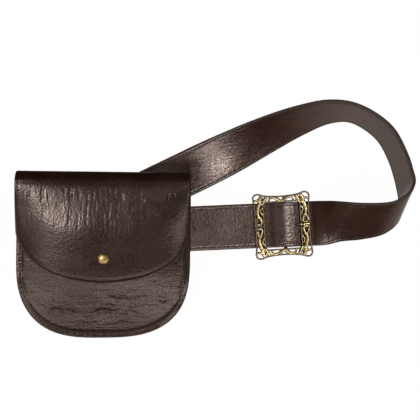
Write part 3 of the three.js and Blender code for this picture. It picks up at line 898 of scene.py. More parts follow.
def height_normals(height: HeightOf, x: Array, y: Array, step: float = 0.05) -> Array:
    """Unit normals of a surface z = height(x, y), from differences over a short step."""
    slope_x = (height(x + step, y) - height(x - step, y)) / (2 * step)
    slope_y = (height(x, y + step) - height(x, y - step)) / (2 * step)
    return unit(np.stack([-slope_x, -slope_y, np.ones_like(slope_x)], axis=-1))


class PanelGrid(NamedTuple):
    """A panel's grid: the ring where it gets finer, rings inside and outside that, and rows by the sides.

    The rows are counted up the straight sides and round the bottom.
    """

    finer_from: float
    inner: int
    outer: int
    straight: int
    bent: int

    def rings(self) -> Array:
        """Ring numbers from the middle out."""
        inner = np.linspace(0, self.finer_from, self.inner)[:-1]
        return np.concatenate([inner, np.linspace(self.finer_from, 1, self.outer)])


@dataclass
class PouchBody:
    """Back panel and front panel, sewn along a flat margin round the sides and bottom.

    The pouch's own axes are x across from its middle, y up from its bottom and z up from the table.
    """

    place: PouchPlace
    thick: float = 1.6
    seam_gap: float = 0.45
    half_width: float = 77.4
    corner_y: float = 74.0
    squareness: float = 2.9
    tilt: float = 0.024
    mouth_y: float = 132.5
    back_top_y: float = 135.4
    margin: float = 5.0
    back_height: float = 11.0
    droop_from_y: float = 55.0
    droop_to_y: float = 3.0
    slope_from_y: float = 68.0
    slope_ease: float = 7.0
    puff_low: float = 9.0
    puff_high: float = 14.5
    kick: float = 0.2
    kick_reach: float = 0.9
    sewn_inset: float = 4.0
    sewn_groove: float = 0.16
    groove_reach: float = 0.7
    sewn_from: float = 3.0
    margin_fall: float = 0.3
    fall_least: float = 0.15
    fall_even_x: float = 50.0
    fall_free_z: float = 6.0
    fold_free: float = 0.2
    wrinkled_to_y: float = 16.0
    wrinkles_end_y: float = 50.0
    wrinkles_least: float = 0.25
    dents: tuple[Dent, ...] = (Dent(-22, 22, 34, 7, 0.4), Dent(26, 34, 30, 8, 0.35))
    creasing: Creasing = field(
        default_factory=lambda: Creasing(
            line_seed=11,
            wander_seed=12,
            sways=(Sway(0.9, 19, 11), Sway(0.25, 6, 5, 50)),
            families=(CreaseLines(2.3, 9, 0.26, 0.42), CreaseLines(3.6, 15, 0.24, 0.52, 50)),
        )
    )
    front_grid: PanelGrid = PanelGrid(0.86, 72, 40, 50, 124)
    back_grid: PanelGrid = PanelGrid(0.94, 26, 14, 30, 54)
    seam_grid: tuple[int, int] = (60, 160)
    arc_samples: int = 4001

    def plan(self, across: Array, straight_y: Array, turn: Array) -> tuple[Array, Array]:
        """Plan of the rings: straight sides above the corners, then a superellipse shrinking to the pole.

        Args:
            across: Ring from -1 at the left edge to 1 at the right edge.
            straight_y: Height up the straight sides, used where turn is nothing.
            turn: Angle round the bottom, from nothing at the corner to a right angle at the middle.

        Returns:
            x and y in the pouch's own axes.
        """
        power = 2 / self.squareness
        x = self.half_width * across * np.maximum(np.cos(turn), 0.0) ** power
        share = np.abs(across) * np.sin(turn) ** power
        bent = self.corner_y * (1 - share) + self.tilt * x * share
        return x, np.where(turn > 0, bent, straight_y)

    def ring(self, x: Array, y: Array) -> Array:
        """Ring number of a point, nothing at the middle line and 1 on the outline: the plan inverted."""
        level = (y - self.tilt * x) / (1 - self.tilt * x / self.corner_y)
        below = np.maximum(self.corner_y - level, 0.0) / self.corner_y
        q = self.squareness
        return ((np.abs(x) / self.half_width) ** q + below**q) ** (1 / q)

    def inset(self, x: Array, y: Array) -> Array:
        """Distance of a point from the outline, measured across the pouch."""
        return (1 - self.ring(x, y)) * self.half_width

    def back_z(self, y: Array) -> Array:
        """Height of the back panel's lower face: level on the belt, drooping to the table at the bottom."""
        return self.back_height * smooth(self.droop_to_y, self.droop_from_y, y)

    def fall(self, x: Array, y: Array) -> Array:
        """Droop of the sewn margin: straight from seam to edge, less at the left and near the table."""
        rightwards = smooth(-self.fall_even_x, self.fall_even_x, x)
        share = self.fall_least + (1 - self.fall_least) * rightwards
        above = smooth(0, self.fall_free_z, self.back_z(y))
        return self.margin_fall * np.clip(self.margin - self.inset(x, y), 0, self.margin) * share * above

    def wrinkles(self, x: Array, y: Array) -> Array:
        """Depth of the level wrinkles: stretched crease lines, strongest in the lower third."""
        low = 1 - smooth(self.wrinkled_to_y, self.wrinkles_end_y, y)
        share = self.wrinkles_least + (1 - self.wrinkles_least) * low
        return sum(self.creasing.at(x, y, upright=False)) * share

    def front_z(self, x: Array, y: Array) -> Array:
        """Height of the front panel's outer face.

        The margin lies on the back panel. Inside the seam the panel kicks up by a share of its fullness
        as 1 - exp(-distance / reach), and swells by the rest as a quarter sine to the middle. Its slope down
        to the bottom is its own: a straight ramp below slope_from_y, eased in at its top by log(1 + exp).
        Wrinkles, dents and the sewn groove are taken off.

        Args:
            x: Across, in the pouch's own axes.
            y: Up from the bottom.

        Returns:
            The height at each point.
        """
        seam = 1 - self.margin / self.half_width
        inside = np.clip((seam - self.ring(x, y)) / seam, 0.0, 1.0)
        kicked = 1 - np.exp(-inside * self.half_width / self.kick_reach)
        rise = self.kick * kicked + (1 - self.kick) * np.sin(np.pi / 2 * inside)
        full = self.puff_low + (self.puff_high - self.puff_low) * y / self.mouth_y
        left = (self.slope_from_y - y) / (self.slope_from_y - self.droop_to_y)
        down = np.clip(1 - np.logaddexp(0, self.slope_ease * left) / self.slope_ease, 0.0, 1.0)
        even = (self.back_height * down - self.back_z(y)) * kicked
        folds = dents_at(self.dents, x, y) + self.wrinkles(x, y)
        sewn = self.sewn_groove * bell(self.inset(x, y), self.sewn_inset, self.groove_reach)
        base = self.back_z(y) + 2 * self.thick + self.seam_gap - self.fall(x, y)
        return base + full * rise + even - folds * smooth(0.0, self.fold_free, inside) - sewn

    def rows(self, top: float, straight: int, bent: int) -> tuple[Array, Array]:
        """Rows down the panel: y on the straight sides, then angles at even steps round the bottom.

        Args:
            top: y of the top edge.
            straight: Rows on the straight sides, closer together at the top edge.
            bent: Rows round the bottom.

        Returns:
            The straight y and the turn of every row.
        """
        drop = (1 - np.cos(np.linspace(0, np.pi / 2, straight, endpoint=False))) * (top - self.corner_y)
        fine = np.linspace(0, np.pi / 2, self.arc_samples)
        x, y = self.plan(np.ones_like(fine), np.full_like(fine, self.corner_y), fine)
        even = lengths_along(np.stack([x, y], axis=1))
        turn = np.interp(np.linspace(0, even[-1], bent + 1), even, fine)
        straight_y = np.concatenate([top - drop, np.full(bent + 1, self.corner_y)])
        return straight_y, np.concatenate([np.zeros(straight), turn])

    def sheet(self, top: float, grid: PanelGrid) -> tuple[Array, Array, Array]:
        """Plan grid of a panel and its distance from the cut edge.

        Args:
            top: y of the top edge.
            grid: Its rings and rows.

        Returns:
            x, y and inset of every grid point.
        """
        rings = grid.rings()
        across = np.concatenate([-rings[:0:-1], rings])[:, None]
        straight_y, turn = self.rows(top, grid.straight, grid.bent)
        x, y = self.plan(across, straight_y[None], turn[None])
        side = (1 - np.abs(across)) * self.half_width
        return x, y, np.minimum(np.broadcast_to(side, x.shape), np.maximum(top - y, 0.0))

    def front(self) -> Shell:
        """Front panel: the swelled outer face and a wall inwards."""
        x, y, inset = self.sheet(self.mouth_y, self.front_grid)
        normal = height_normals(self.front_z, x, y)
        outer = np.stack([x, y, self.front_z(x, y)], axis=-1)
        return wall(outer - normal * self.thick / 2, normal, self.thick, inset).moved(self.place.on_table)

    def back(self) -> Shell:
        """Back panel: a flat wall that droops to the table at its bottom."""
        x, y, inset = self.sheet(self.back_top_y, self.back_grid)
        middle = np.stack([x, y, self.back_z(y) - self.fall(x, y) + self.thick / 2], axis=-1)
        upright = np.broadcast_to(UP, middle.shape)
        return wall(middle, upright, self.thick, inset).moved(self.place.on_table)

    def seam_line(self, inset: float) -> Array:
        """Line on the front at an inset from the outline, from the mouth down the left and up the right."""
        straight_y, turn = self.rows(self.mouth_y - self.sewn_from, *self.seam_grid)
        ring = 1 - inset / self.half_width
        left = self.plan(np.full_like(turn, -ring), straight_y, turn)
        right = self.plan(np.full_like(turn, ring), straight_y, turn)
        x = np.concatenate([left[0], right[0][-2::-1]])
        y = np.concatenate([left[1], right[1][-2::-1]])
        return np.stack([x, y, self.front_z(x, y)], axis=1)

    def stitching(self, stitch: Stitch) -> list[Shell]:
        """Stitches of the seam, on the front and on the back."""
        line = self.seam_line(self.sewn_inset)
        x, y = line[:, 0], line[:, 1]
        up = height_normals(self.front_z, x, y)
        under = np.stack([x, y, self.back_z(y) - self.fall(x, y)], axis=1)
        down = np.broadcast_to(DOWN, under.shape)
        return [stitch.row(self.place.on_table(line), up), stitch.row(self.place.on_table(under), down)]

    def build(self, finishes: Finishes) -> None:
        """Makes both panels."""
        finishes.dress(self.back().make("pouch_back"), Look.PANEL, "back_panel")
        finishes.dress(self.front().make("pouch_front"), Look.PANEL, "front_panel")


class DrapeRow(NamedTuple):
    """Height of the flap's middle surface on its centre line, and how far its sides droop below that."""

    y: float
    crown: float
    droop: float


@dataclass
class Flap:
    """The flap: sewn to the back, folded over the top and draped down the front to a half ellipse.

    Its edge turns down a little outside the sewn line. Upright creases lie below the fold.
    """

    place: PouchPlace
    thick: float = 2.4
    half_width: float = 77.0
    rear_y: float = 127.5
    fold_y: float = 136.2
    fold_radius: float = 11.2
    fold_lean: float = 19.0
    ellipse_y: float = 97.0
    ellipse_drop: float = 46.0
    side_shape: float = 3.2
    dent_free: float = 12.0
    crease_free: float = 5.0
    sewn_inset: float = 3.4
    sewn_from: float = 0.3
    sewn_clear: float = 0.5
    rear_sewn: float = 2.4
    groove: float = 0.14
    groove_reach: float = 0.8
    edge_fall: float = 1.7
    edge_past: float = 0.6
    smooth_rim: tuple[float, float] = (1.0, 7.0)
    drape: tuple[DrapeRow, ...] = (
        DrapeRow(46, 29.4, 12),
        DrapeRow(51, 30.2, 12.5),
        DrapeRow(60, 31.7, 13.5),
        DrapeRow(66, 32.5, 14),
        DrapeRow(78, 33.7, 15),
        DrapeRow(88, 34.6, 14.8),
        DrapeRow(97, 35.1, 13.2),
        DrapeRow(106, 34.9, 10),
        DrapeRow(120, 33.8, 5),
        DrapeRow(129, 32.9, 2.4),
        DrapeRow(135, 31.9, 0.8),
        DrapeRow(139.9, 30.6, 0),
    )
    dents: tuple[Dent, ...] = (
        Dent(-34, 110, 16, 30, 0.3),
        Dent(10, 106, 14, 30, 0.3),
        Dent(46, 98, 16, 28, 0.4),
    )
    creases_rise: tuple[float, float] = (84.0, 120.0)
    creases_ease_y: float = 128.0
    creases_eased: float = 0.6
    creases_left: float = 0.25
    creasing: Creasing = field(
        default_factory=lambda: Creasing(
            line_seed=21,
            wander_seed=22,
            sways=(Sway(0.45, 21, 9), Sway(0.16, 7, 3.6, 50)),
            families=(CreaseLines(3.9, 17, 0.2, 0.2), CreaseLines(2.7, 9, 0.24, 0.12, 60)),
        )
    )
    columns: int = 264
    even_share: float = 0.45
    rear_rows: int = 9
    fold_rows: int = 30
    front_rows: int = 132
    rear_stops: int = 8
    fold_stops: int = 40
    side_stops: int = 60
    curve_stops: int = 400
    across_stops: int = 80

    def inset(self, x: Array, y: Array) -> Array:
        """Distance from the flap's edge: plain by the straight sides, and to first order in the ellipse."""
        a, b = x / self.half_width, np.maximum(self.ellipse_y - y, 0.0) / self.ellipse_drop
        ring = np.sqrt(a**2 + b**2)
        slope = np.sqrt((a / self.half_width) ** 2 + (b / self.ellipse_drop) ** 2) / np.maximum(ring, TINY)
        return (1 - ring) / np.maximum(slope, TINY)

    def creases(self, x: Array, y: Array) -> Array:
        """Depth of the upright creases: long and short lines near the fold, faint short ones everywhere."""
        long, short = self.creasing.at(x, y, upright=True)
        eased = 1 - self.creases_eased * smooth(self.creases_ease_y, self.fold_y, y)
        return (long + short) * smooth(*self.creases_rise, y) * eased + self.creases_left * short

    def front_z(self, x: Array, y: Array) -> Array:
        """Height of the middle surface down the front.

        It is the crown less droop, dents, creases, the sewn groove and the fall of the edge.

        Args:
            x: Across, in the pouch's own axes.
            y: Up from the pouch's bottom.

        Returns:
            The height at each point.
        """
        droop = table_at(self.drape, "y", "droop", y) * np.abs(x / self.half_width) ** self.side_shape
        away = smooth(0.0, self.dent_free, self.fold_y - y)
        below = smooth(0.0, self.crease_free, self.fold_y - y)
        folds = dents_at(self.dents, x, y) * away + self.creases(x, y) * below
        inset = self.inset(x, y)
        sewn = self.groove * bell(inset, self.sewn_inset, self.groove_reach)
        fall = self.edge_fall * (1 - smooth(-self.edge_past, self.sewn_inset, inset)) * away
        crown = table_at(self.drape, "y", "crown", y)
        return crown - droop - folds * smooth(*self.smooth_rim, inset) - sewn - fall

    def front_top(self) -> float:
        """Where the fold ends and the front begins, a few degrees before the fold's crest."""
        return self.fold_y + self.fold_radius * float(np.sin(np.radians(self.fold_lean)))

    def fold_centre(self) -> float:
        """Height of the fold's axis."""
        crown = float(table_at(self.drape, "y", "crown", np.array(self.front_top())))
        return crown - self.fold_radius * float(np.cos(np.radians(self.fold_lean)))

    def surface(self, across: Array, along: Array) -> tuple[Array, Array, Array]:
        """Middle surface of the flap.

        Along runs from 0 to 1 up the sewn rear margin, 1 to 2 round the arc of the fold, and 2 to 3 down
        the front, where each column ends on the ellipse.

        Args:
            across: From -1 to 1 between the sides.
            along: From 0 to 3.

        Returns:
            Points, unit normals and distance from the edge.
        """
        across, along = np.broadcast_arrays(across, along)
        x = self.half_width * across
        centre = self.fold_centre()
        turn = (np.clip(along, 1, 2) - 1) * (np.pi - np.radians(self.fold_lean)) - np.pi / 2
        edge_y = self.ellipse_y - self.ellipse_drop * np.sqrt(np.maximum(1 - across**2, 0.0))
        rear_y = self.rear_y + (self.fold_y - self.rear_y) * np.clip(along, 0, 1)
        front_y = self.front_top() + (edge_y - self.front_top()) * np.clip(along - 2, 0, 1)
        side = self.half_width - np.abs(x)
        lift = self.fold_radius - self.groove * bell(side, self.sewn_inset, self.groove_reach)
        rear = along < 1
        front = along > 2
        y = np.where(front, front_y, np.where(rear, rear_y, self.fold_y + lift * np.cos(turn)))
        z = np.where(front, self.front_z(x, front_y), centre + lift * np.sin(turn))
        round_n = np.stack([np.zeros_like(x), np.cos(turn), np.sin(turn)], axis=-1)
        normal = np.where(front[..., None], height_normals(self.front_z, x, front_y), round_n)
        margin = np.minimum(side, np.where(rear, y - self.rear_y, side))
        inset = np.where(front, self.inset(x, front_y), margin)
        return np.stack([x, y, z], axis=-1), normal, np.maximum(inset, 0.0)

    def sheet(self) -> Shell:
        """The flap's wall, its grid closer together at the edges."""
        even = np.linspace(-1, 1, self.columns)
        across = self.even_share * even + (1 - self.even_share) * np.sin(np.pi / 2 * even)
        rear = 1 - np.cos(np.linspace(0, np.pi / 2, self.rear_rows, endpoint=False))
        front = 2 + np.sin(np.linspace(0, np.pi / 2, self.front_rows))
        along = np.concatenate([rear, np.linspace(1, 2, self.fold_rows)[:-1], front])
        middle, normal, inset = self.surface(across[:, None], along[None])
        return wall(middle, normal, self.thick, inset).moved(self.place.on_table)

    def sewn_line(self) -> tuple[Array, Array]:
        """The sewn line: up one side over the fold, down, round inside the ellipse, and back the same way.

        Returns:
            Points on the outer face and the outward directions there.
        """
        side_x = (self.half_width - self.sewn_inset) / self.half_width
        rear = np.linspace(self.sewn_from, 1, self.rear_stops)[:-1]
        along = np.concatenate([rear, np.linspace(1, 2, self.fold_stops)])
        over, over_n, _ = self.surface(np.full_like(along, -side_x), along)
        angle = np.linspace(-np.pi / 2, np.pi / 2, self.curve_stops)
        forward = np.stack([self.half_width * np.cos(angle), self.ellipse_drop * np.sin(angle)], axis=1)
        tangent = unit(forward)
        x = self.half_width * np.sin(angle) - tangent[:, 1] * self.sewn_inset
        y = self.ellipse_y - self.ellipse_drop * np.cos(angle) + tangent[:, 0] * self.sewn_inset
        straight = np.linspace(self.front_top() - self.sewn_clear, self.ellipse_y, self.side_stops)[:-1]
        x = np.concatenate([np.full_like(straight, x[0]), x, np.full_like(straight, x[-1])])
        y = np.concatenate([straight, y, straight[::-1]])
        front = np.stack([x, y, self.front_z(x, y)], axis=1)
        front_n = height_normals(self.front_z, x, y)
        flip = np.array([-1.0, 1.0, 1.0])
        line = np.vstack([over, front, over[::-1] * flip])
        normal = np.vstack([over_n, front_n, over_n[::-1]])
        return line + normal * self.thick / 2, normal

    def stitching(self, stitch: Stitch) -> list[Shell]:
        """Stitches along the flap's edge, and the row that holds its rear margin to the back."""
        line, up = self.sewn_line()
        reach = self.half_width - 2 * self.sewn_inset
        x = np.linspace(-reach, reach, self.across_stops)
        low = self.fold_centre() - self.fold_radius - self.thick / 2
        rear = np.stack([x, np.full_like(x, self.rear_y + self.rear_sewn), np.full_like(x, low)], axis=1)
        down = np.broadcast_to(DOWN, rear.shape)
        return [stitch.row(self.place.on_table(line), up), stitch.row(self.place.on_table(rear), down)]

    def build(self, finishes: Finishes) -> None:
        """Makes the flap."""
        finishes.dress(self.sheet().make("pouch_flap"), Look.FLAP, "flap")


class TunnelRow(NamedTuple):
    """A corner of the tunnel's middle line across the pouch."""

    y: float
    z: float


@dataclass
class BeltTunnel:
    """The strip on the pouch's back that the belt runs through: two sewn margins and a sunk middle."""

    place: PouchPlace
    thick: float = 1.6
    from_x: float = -29.5
    to_x: float = 28.5
    bend: float = 1.5
    sewn_inset: float = 3.4
    sewn_from: float = 3.0
    near_edge: tuple[float, ...] = (0.0, 0.03, 0.06, 0.12, 0.5)
    bend_rows: int = 9
    columns: int = 40
    line: tuple[TunnelRow, ...] = (
        TunnelRow(61.5, 9.9),
        TunnelRow(69.6, 9.9),
        TunnelRow(71, 3.8),
        TunnelRow(117.6, 3.8),
        TunnelRow(119, 9.9),
        TunnelRow(126.5, 9.9),
    )

    def middle_line(self) -> Array:
        """Middle line with rounded corners: each a parabola between points a bend's length either side."""
        points = side_by_side(self.line, "y", "z")
        before, corner, after = points[:-2], points[1:-1], points[2:]
        start = corner + unit(before - corner) * self.bend
        end = corner + unit(after - corner) * self.bend
        t = np.linspace(0, 1, self.bend_rows)[None, :, None]
        arcs = (1 - t) ** 2 * start[:, None] + 2 * t * (1 - t) * corner[:, None] + t**2 * end[:, None]
        share = np.array(self.near_edge)[:, None]
        head = points[:1] + (arcs[0, :1] - points[:1]) * share
        foot = points[-1:] + (arcs[-1, -1:] - points[-1:]) * share[::-1]
        return np.vstack([head, arcs.reshape(-1, 2), foot])

    def strip(self) -> Shell:
        """The strip's wall: the middle line carried across the pouch."""
        line = self.middle_line()
        lengths = lengths_along(line)
        run = np.gradient(line, axis=0)
        normal = unit(np.stack([np.zeros(len(line)), -run[:, 1], run[:, 0]], axis=1))
        share = (1 - np.cos(np.linspace(0, np.pi, self.columns))) / 2
        x = self.from_x + (self.to_x - self.from_x) * share
        middle = np.stack(np.broadcast_arrays(x[:, None], line[:, 0], line[:, 1]), axis=-1)
        ends = np.minimum(x - self.from_x, self.to_x - x)[:, None]
        inset = np.minimum(ends, np.minimum(lengths, lengths[-1] - lengths)[None])
        shell = wall(middle, np.broadcast_to(normal, middle.shape), self.thick, inset)
        return shell.moved(self.place.on_table)

    def stitching(self, stitch: Stitch) -> list[Shell]:
        """A row of stitches on each sewn margin, on its outer face."""
        x = np.linspace(self.from_x + self.sewn_from, self.to_x - self.sewn_from, self.columns)
        z = np.full_like(x, self.line[0].z - self.thick / 2)
        down = np.broadcast_to(DOWN, (len(x), 3))
        rows = []
        for y in (self.line[0].y + self.sewn_inset, self.line[-1].y - self.sewn_inset):
            line = np.stack([x, np.full_like(x, y), z], axis=1)
            rows.append(stitch.row(self.place.on_table(line), down))
        return rows

    def build(self, finishes: Finishes) -> None:
        """Makes the tunnel."""
        finishes.dress(self.strip().make("belt_tunnel"), Look.PANEL, "belt_loop")


@dataclass
class Snap:
    """The snap: a domed cap riveted through the flap, and a stud riveted through the front panel."""

    place: PouchPlace
    x: float = 2.3
    y: float = 72.2
    seat: float = 0.3
    flap_z: float = 33.1
    flap_thick: float = 2.4
    panel_z: float = 25.9
    panel_thick: float = 1.6
    cap_radius: float = 4.75
    cap_height: float = 2.4
    shank_radius: float = 1.6
    disc_radius: float = 4.4
    disc_height: float = 1.3
    disc_rim: float = 0.25
    roll: float = 0.55
    roll_turn: tuple[float, float] = (-80.0, 90.0)
    roll_rows: int = 16
    dome_rows: int = 18
    dome_foot: float = 0.75
    dome_from: float = 0.86
    dome_round: float = 0.95
    sides: int = 64

    def disc(self, low: float) -> list[list[float]]:
        """Corners of a disc's profile, from its lower face up, with its rims broken."""
        high, inner = low + self.disc_height, self.disc_radius - self.disc_rim
        return [
            [inner, low],
            [self.disc_radius, low + self.disc_rim],
            [self.disc_radius, high - self.disc_rim],
            [inner, high],
        ]

    def cap(self) -> Shell:
        """Cap: a foot disc under the flap, a shank, and a dome with a rolled rim above."""
        seat = self.flap_z + self.flap_thick / 2 + self.seat
        under = self.flap_z - self.flap_thick / 2 - self.seat
        foot = under - self.disc_height
        angle = np.radians(np.linspace(*self.roll_turn, self.roll_rows))
        middle = np.array([self.cap_radius - self.roll, seat + self.roll])
        roll = middle + self.roll * np.stack([np.cos(angle), np.sin(angle)], axis=1)
        share = np.linspace(self.dome_from, 0.0, self.dome_rows)
        rise = (self.cap_height - self.dome_foot) * np.sqrt(1 - (share / self.dome_round) ** 2)
        dome = np.stack([self.cap_radius * share, seat + self.dome_foot + rise], axis=1)
        profile = [[0.0, foot], *self.disc(foot), [self.shank_radius, under], [self.shank_radius, seat]]
        return self.turned(np.vstack([profile, roll, dome]))

    def post(self) -> Shell:
        """Stud: a disc inside the panel, a shank, and a disc outside it."""
        face = self.panel_z + self.seat
        back = face - self.panel_thick - 2 * self.seat
        low = back - self.disc_height
        profile = [[0.0, low], *self.disc(low), [self.shank_radius, back], [self.shank_radius, face]]
        profile += [*self.disc(face), [0.0, face + self.disc_height]]
        return self.turned(np.array(profile))

    def turned(self, profile: Array) -> Shell:
        """A profile turned about the snap's middle, on the table."""
        return turned_shape(profile, self.x, self.y, self.sides).moved(self.place.on_table)

    def build(self, finishes: Finishes) -> None:
        """Makes both halves."""
        finishes.dress(self.cap().make("snap_dome"), Look.BRIGHT, "snap_cap")
        finishes.dress(self.post().make("snap_stud"), Look.BRIGHT, "snap_post")


# Belt


@dataclass(frozen=True)
class FrontRun:
    """The straight line of the belt's front run: the buckle's middle on it, and its heading in degrees."""

    x: float = 62.3
    y: float = -4.2
    heading: float = 2.5

    def on_table(self, points: Array, turn: float = 0.0) -> Array:
        """Points of the run's own axes turned to its heading and an extra turn, and moved to the table."""
        angle = np.radians(self.heading + turn)
        u, v, z = np.moveaxis(points, -1, 0)
        x = self.x + u * np.cos(angle) - v * np.sin(angle)
        return np.stack([x, self.y + u * np.sin(angle) + v * np.cos(angle), z], axis=-1)

    def on_line(self, u: Array, z: Array) -> Array:
        """Points on the run's middle line."""
        return self.on_table(np.stack([u, np.zeros_like(u), z], axis=-1))


class RunRow(NamedTuple):
    """A station of the front run: u along it, height, and lift of the upper edge in degrees."""

    u: float
    z: float
    lift: float = 0.0


class LoopRow(NamedTuple):
    """A station of the loop: place, height of the lower edge, swing and lift of the upper in degrees."""

    x: float
    y: float
    low: float
    swing: float
    lift: float


@dataclass(frozen=True)
class Bar:
    """The buckle's lowered bar: its place along the run, height and radius."""

    u: float = 2.0
    z: float = 5.2
    radius: float = 1.6


@dataclass(frozen=True)
class Hairpin:
    """The belt's half turn behind the pouch: its place, its two heights and the back run's heading."""

    x: float = -137.2
    y: float = -12.9
    top: float = 8.6
    bottom: float = 1.2
    heading: float = 25.6


@dataclass
class Belt:
    """One long strap of two sewn layers: from the buckle's bar round behind the pouch and back through it."""

    run: FrontRun
    bar: Bar
    holes: Sequence[Shell] = ()
    hairpin: Hairpin = Hairpin()
    width: float = 40.0
    thick: float = 2.4
    seat: float = 0.3
    sewn_inset: float = 3.0
    groove: float = 0.14
    groove_reach: float = 0.5
    groove_rows: tuple[float, ...] = (-1.1, -0.6, -0.3, 0.0, 0.3, 0.6, 1.1)
    face_rows: int = 7
    face_clear: float = 2.0
    edge_rows: int = 9
    edge_turn: float = 78.0
    arc_steps: int = 8
    per_row: int = 12
    hole_radius: float = 1.5
    hole_u: tuple[float, ...] = (-34.0, -79.0)
    hole_profile: tuple[tuple[float, float], ...] = ((0, -1.9), (1, -1.9), (1.04, -0.2), (1.3, 1), (0, 1))
    hole_sides: int = 24
    slot_radius: float = 4.6
    slot_half: float = 2.6
    slot_sides: int = 40
    sharp_angle: float = 50.0
    tail: tuple[RunRow, ...] = (RunRow(-30, 2.1), RunRow(-16, 2.1), RunRow(-5, 2.1))
    fixed: tuple[RunRow, ...] = (
        RunRow(-4, 7.5),
        RunRow(-11, 5.1),
        RunRow(-20, 4.8),
        RunRow(-32, 4.8),
        RunRow(-58, 5.7),
        RunRow(-84, 6.4),
        RunRow(-110, 6.5),
        RunRow(-150, 6.5),
        RunRow(-186, 6.5),
    )
    loop: tuple[LoopRow, ...] = (
        LoopRow(-110, 0.1, 1.2, 115.6, 0),
        LoopRow(-66, 21.3, 1.2, 115.6, 0),
        LoopRow(-36, 35.7, 1.2, 115.6, 0.5),
        LoopRow(-20.7, 43, 1.2, 115.6, 3),
        LoopRow(-2.7, 51.6, 1.2, 116, 11),
        LoopRow(16.1, 60.5, 1.2, 117, 21),
        LoopRow(44.1, 74.2, 1.1, 119, 36),
        LoopRow(77.6, 88.7, 0.9, 118, 52),
        LoopRow(103.6, 96, 0.8, 108, 63),
        LoopRow(125.6, 94.1, 0.6, 73, 71),
        LoopRow(150.9, 77.5, 0.6, 46, 72),
        LoopRow(163.6, 55.2, 0.6, 28, 73),
        LoopRow(169, 38, 0.9, 42, 71),
        LoopRow(170.9, 28.5, 2.8, 58, 65),
        LoopRow(170.5, 20.8, 7.5, 70, 58),
        LoopRow(168.2, 13.6, 13, 77, 51.5),
        LoopRow(163, 7.7, 16, 79, 47),
        LoopRow(152.5, 1.8, 17, 82, 44),
        LoopRow(131.9, -1, 16.6, 90, 37),
        LoopRow(112, -1.3, 14, 93, 27),
    )
    free: tuple[RunRow, ...] = (
        RunRow(38, 14.2, 10),
        RunRow(31, 10, 2.5),
        RunRow(26, 7.3),
        RunRow(21, 7.2),
        RunRow(16.5, 7.4),
        RunRow(9, 9.7),
        RunRow(2, 11.1),
        RunRow(-5, 10.4),
        RunRow(-13, 7.9),
        RunRow(-20, 7.6),
        RunRow(-32, 7.6),
        RunRow(-58, 8.5),
        RunRow(-84, 9.2),
        RunRow(-110, 9.35),
        RunRow(-180, 9.35),
    )

    def wrap(self, angles: Array) -> Array:
        """Middle line round the buckle's bar at angles about it, as u and z."""
        reach = self.bar.radius + self.seat + self.thick / 2
        return np.stack([self.bar.u + reach * np.cos(angles), self.bar.z + reach * np.sin(angles)], axis=1)

    def half_turn(self, angles: Array) -> tuple[Array, Array]:
        """Middle line of the hairpin: a half circle that creeps sideways from one heading to the other.

        Args:
            angles: From a right angle above to a right angle below.

        Returns:
            Points, and the swing of the upper edge at each.
        """
        pin = self.hairpin
        across = 90 + self.run.heading
        radius = (pin.top - pin.bottom) / 2
        axis = np.radians((across + pin.heading + 90) / 2)
        creep = radius * np.pi * np.tan(np.radians((pin.heading - self.run.heading) / 2))
        share = 0.5 - angles / np.pi
        out = radius * np.cos(angles)
        aside = (share - 0.5) * creep
        x = pin.x - out * np.sin(axis) + aside * np.cos(axis)
        y = pin.y + out * np.cos(axis) + aside * np.sin(axis)
        z = pin.bottom + radius * (1 + np.sin(angles))
        return np.stack([x, y, z], axis=1), across + (90 + pin.heading - across) * share

    def stations(self) -> tuple[Array, Array]:
        """Stations of the strap from its sewn tail to its tip.

        Returns:
            Points of the middle line, and swing and lift of the upper edge at each.
        """
        across = 90 + self.run.heading
        bends = np.radians(np.linspace(-90, 90, self.arc_steps + 1))
        arc = self.wrap(bends)
        pin, pin_swing = self.half_turn(bends[::-1])
        flat = [
            self.run.on_line(column(self.tail, "u"), column(self.tail, "z")),
            self.run.on_line(arc[:, 0], arc[:, 1]),
            self.run.on_line(column(self.fixed, "u"), column(self.fixed, "z")),
        ]
        lift = column(self.loop, "lift")
        high = column(self.loop, "low") + self.width / 2 * np.sin(np.radians(lift))
        loop = np.column_stack([side_by_side(self.loop, "x", "y"), high])
        free = self.run.on_line(column(self.free, "u"), column(self.free, "z"))
        level = sum(len(part) for part in flat)
        swings = [np.full(level, across), pin_swing, column(self.loop, "swing"), np.full(len(free), across)]
        lifts = [np.zeros(level + len(pin)), lift, column(self.free, "lift")]
        angles = np.stack([np.concatenate(swings), np.concatenate(lifts)], axis=1)
        return np.vstack([*flat, pin, loop, free]), angles

    def sections(self) -> tuple[Array, Array, Array]:
        """Sections of the strap: middle line, across and outward directions, raised where it would sink.

        Returns:
            Middle line, unit vectors towards the upper edge, and unit vectors square to the face.
        """
        points, angles = self.stations()
        path = catmull_rom(points, self.per_row, Spacing.CENTRIPETAL)
        swing, lift = np.radians(catmull_rom(angles, self.per_row, Spacing.UNIFORM)).T
        level = np.cos(lift)
        across = np.stack([level * np.cos(swing), level * np.sin(swing), np.sin(lift)], axis=1)
        out = unit(np.cross(np.gradient(path, axis=0), across))
        reach = self.width / 2 * np.abs(across[:, 2]) + self.thick / 2 * np.abs(out[:, 2])
        path[:, 2] += np.maximum(0.0, reach - path[:, 2])
        return path, across, out

